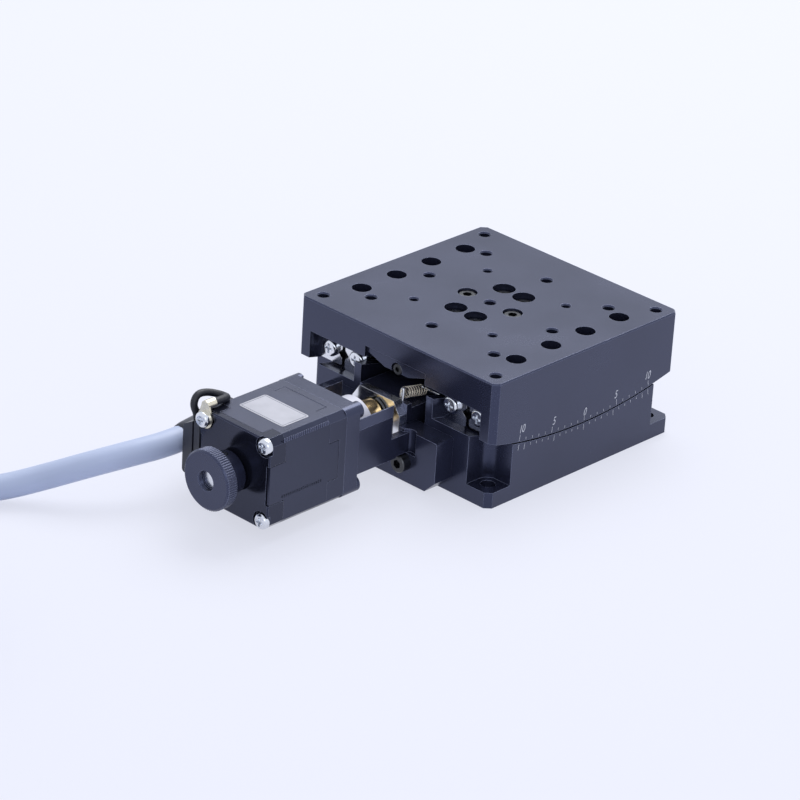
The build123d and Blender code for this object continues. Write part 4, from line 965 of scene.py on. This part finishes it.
class GONIOMETER_OT_studio(Operator):
    """Set up the floor, the soft light and the camera"""
    bl_idname = "goniometer.studio"
    bl_label = "Studio"

    def execute(self, context):
        scene = context.scene
        camera = bpy.data.cameras.new("Camera")
        camera.sensor_width = SENSOR
        camera.lens = FOCAL_PIXELS / PICTURE_PIXELS * SENSOR
        camera.clip_end = FAR_CLIP
        holder = bpy.data.objects.new("Camera", camera)
        scene.collection.objects.link(holder)
        turn = camera_turn().to_4x4()
        holder.matrix_world = Matrix.Translation(Vector(CAMERA_PLACE) * MM) @ turn
        scene.camera = holder
        scene.view_settings.view_transform = "Standard"
        self.add_floor()
        self.add_world(scene)
        for lamp in LAMPS:
            add_lamp(*lamp)
        return {"FINISHED"}

    def add_floor(self):
        size = FLOOR_HALF
        corners = [(-size, -size, 0), (size, -size, 0), (size, size, 0), (-size, size, 0)]
        mesh = bpy.data.meshes.new("studio_floor")
        mesh.from_pydata(corners, [], [(0, 1, 2, 3)])
        graph = Graph(bpy.data.materials.new("Studio Floor"))
        colour = rgba(stage_finishes().floor_colour)
        paper = graph.node("ShaderNodeBsdfDiffuse", None, {"Color": rgba(colour, PAPER_SHARE)})
        glow = graph.node("ShaderNodeEmission", None, {"Color": colour, "Strength": 1.0})
        share = looked_at(graph) * GLOW_SHARE
        mixed = graph.node("ShaderNodeMixShader", None, {0: share, 1: paper, 2: glow})
        mesh.materials.append(graph.surface(mixed))
        floor = bpy.data.objects.new("studio_floor", mesh)
        bpy.context.scene.collection.objects.link(floor)

    def add_world(self, scene):
        scene.world = bpy.data.worlds.new("Studio")
        graph = Graph(scene.world)
        strength = SKY_STRENGTH + looked_at(graph) * SKY_SEEN_MORE
        sky = graph.node("ShaderNodeBackground", None,
                         {"Color": SKY_COLOUR, "Strength": strength})
        graph.surface(sky, "ShaderNodeOutputWorld")


class GONIOMETER_PT_panel(Panel):
    """The goniometer's sizes, colours and pieces"""
    bl_idname = "GONIOMETER_PT_panel"
    bl_label = "Goniometer"
    bl_space_type = "VIEW_3D"
    bl_region_type = "UI"
    bl_category = "Goniometer"

    def draw(self, context):
        layout = self.layout
        for group in (context.scene.goniometer_finishes, context.scene.goniometer_scale,
                      context.scene.goniometer_cable):
            column = layout.column()
            for name in group.__annotations__:
                column.prop(group, name)
        for step in STEPS:
            layout.operator(step.bl_idname)


STEPS = (
    GONIOMETER_OT_studio,
    GONIOMETER_OT_finishes,
    GONIOMETER_OT_cable,
    GONIOMETER_OT_earth_lead,
    GONIOMETER_OT_scale,
    GONIOMETER_OT_spring,
    GONIOMETER_OT_knob,
    GONIOMETER_OT_label,
    GONIOMETER_OT_stack_marks,
)
GROUPS = (
    ("goniometer_finishes", GoniometerFinishes),
    ("goniometer_scale", GoniometerScale),
    ("goniometer_cable", GoniometerCable),
)


def register():
    for name, group in GROUPS:
        bpy.utils.register_class(group)
        setattr(bpy.types.Scene, name, PointerProperty(type=group))
    for step in STEPS:
        bpy.utils.register_class(step)
    bpy.utils.register_class(GONIOMETER_PT_panel)


def unregister():
    bpy.utils.unregister_class(GONIOMETER_PT_panel)
    for step in reversed(STEPS):
        bpy.utils.unregister_class(step)
    for name, group in reversed(GROUPS):
        delattr(bpy.types.Scene, name)
        bpy.utils.unregister_class(group)


def main():
    register()
    for step in STEPS:
        group, name = step.bl_idname.split(".")
        getattr(getattr(bpy.ops, group), name)()


if __name__ == "__main__":
    main()
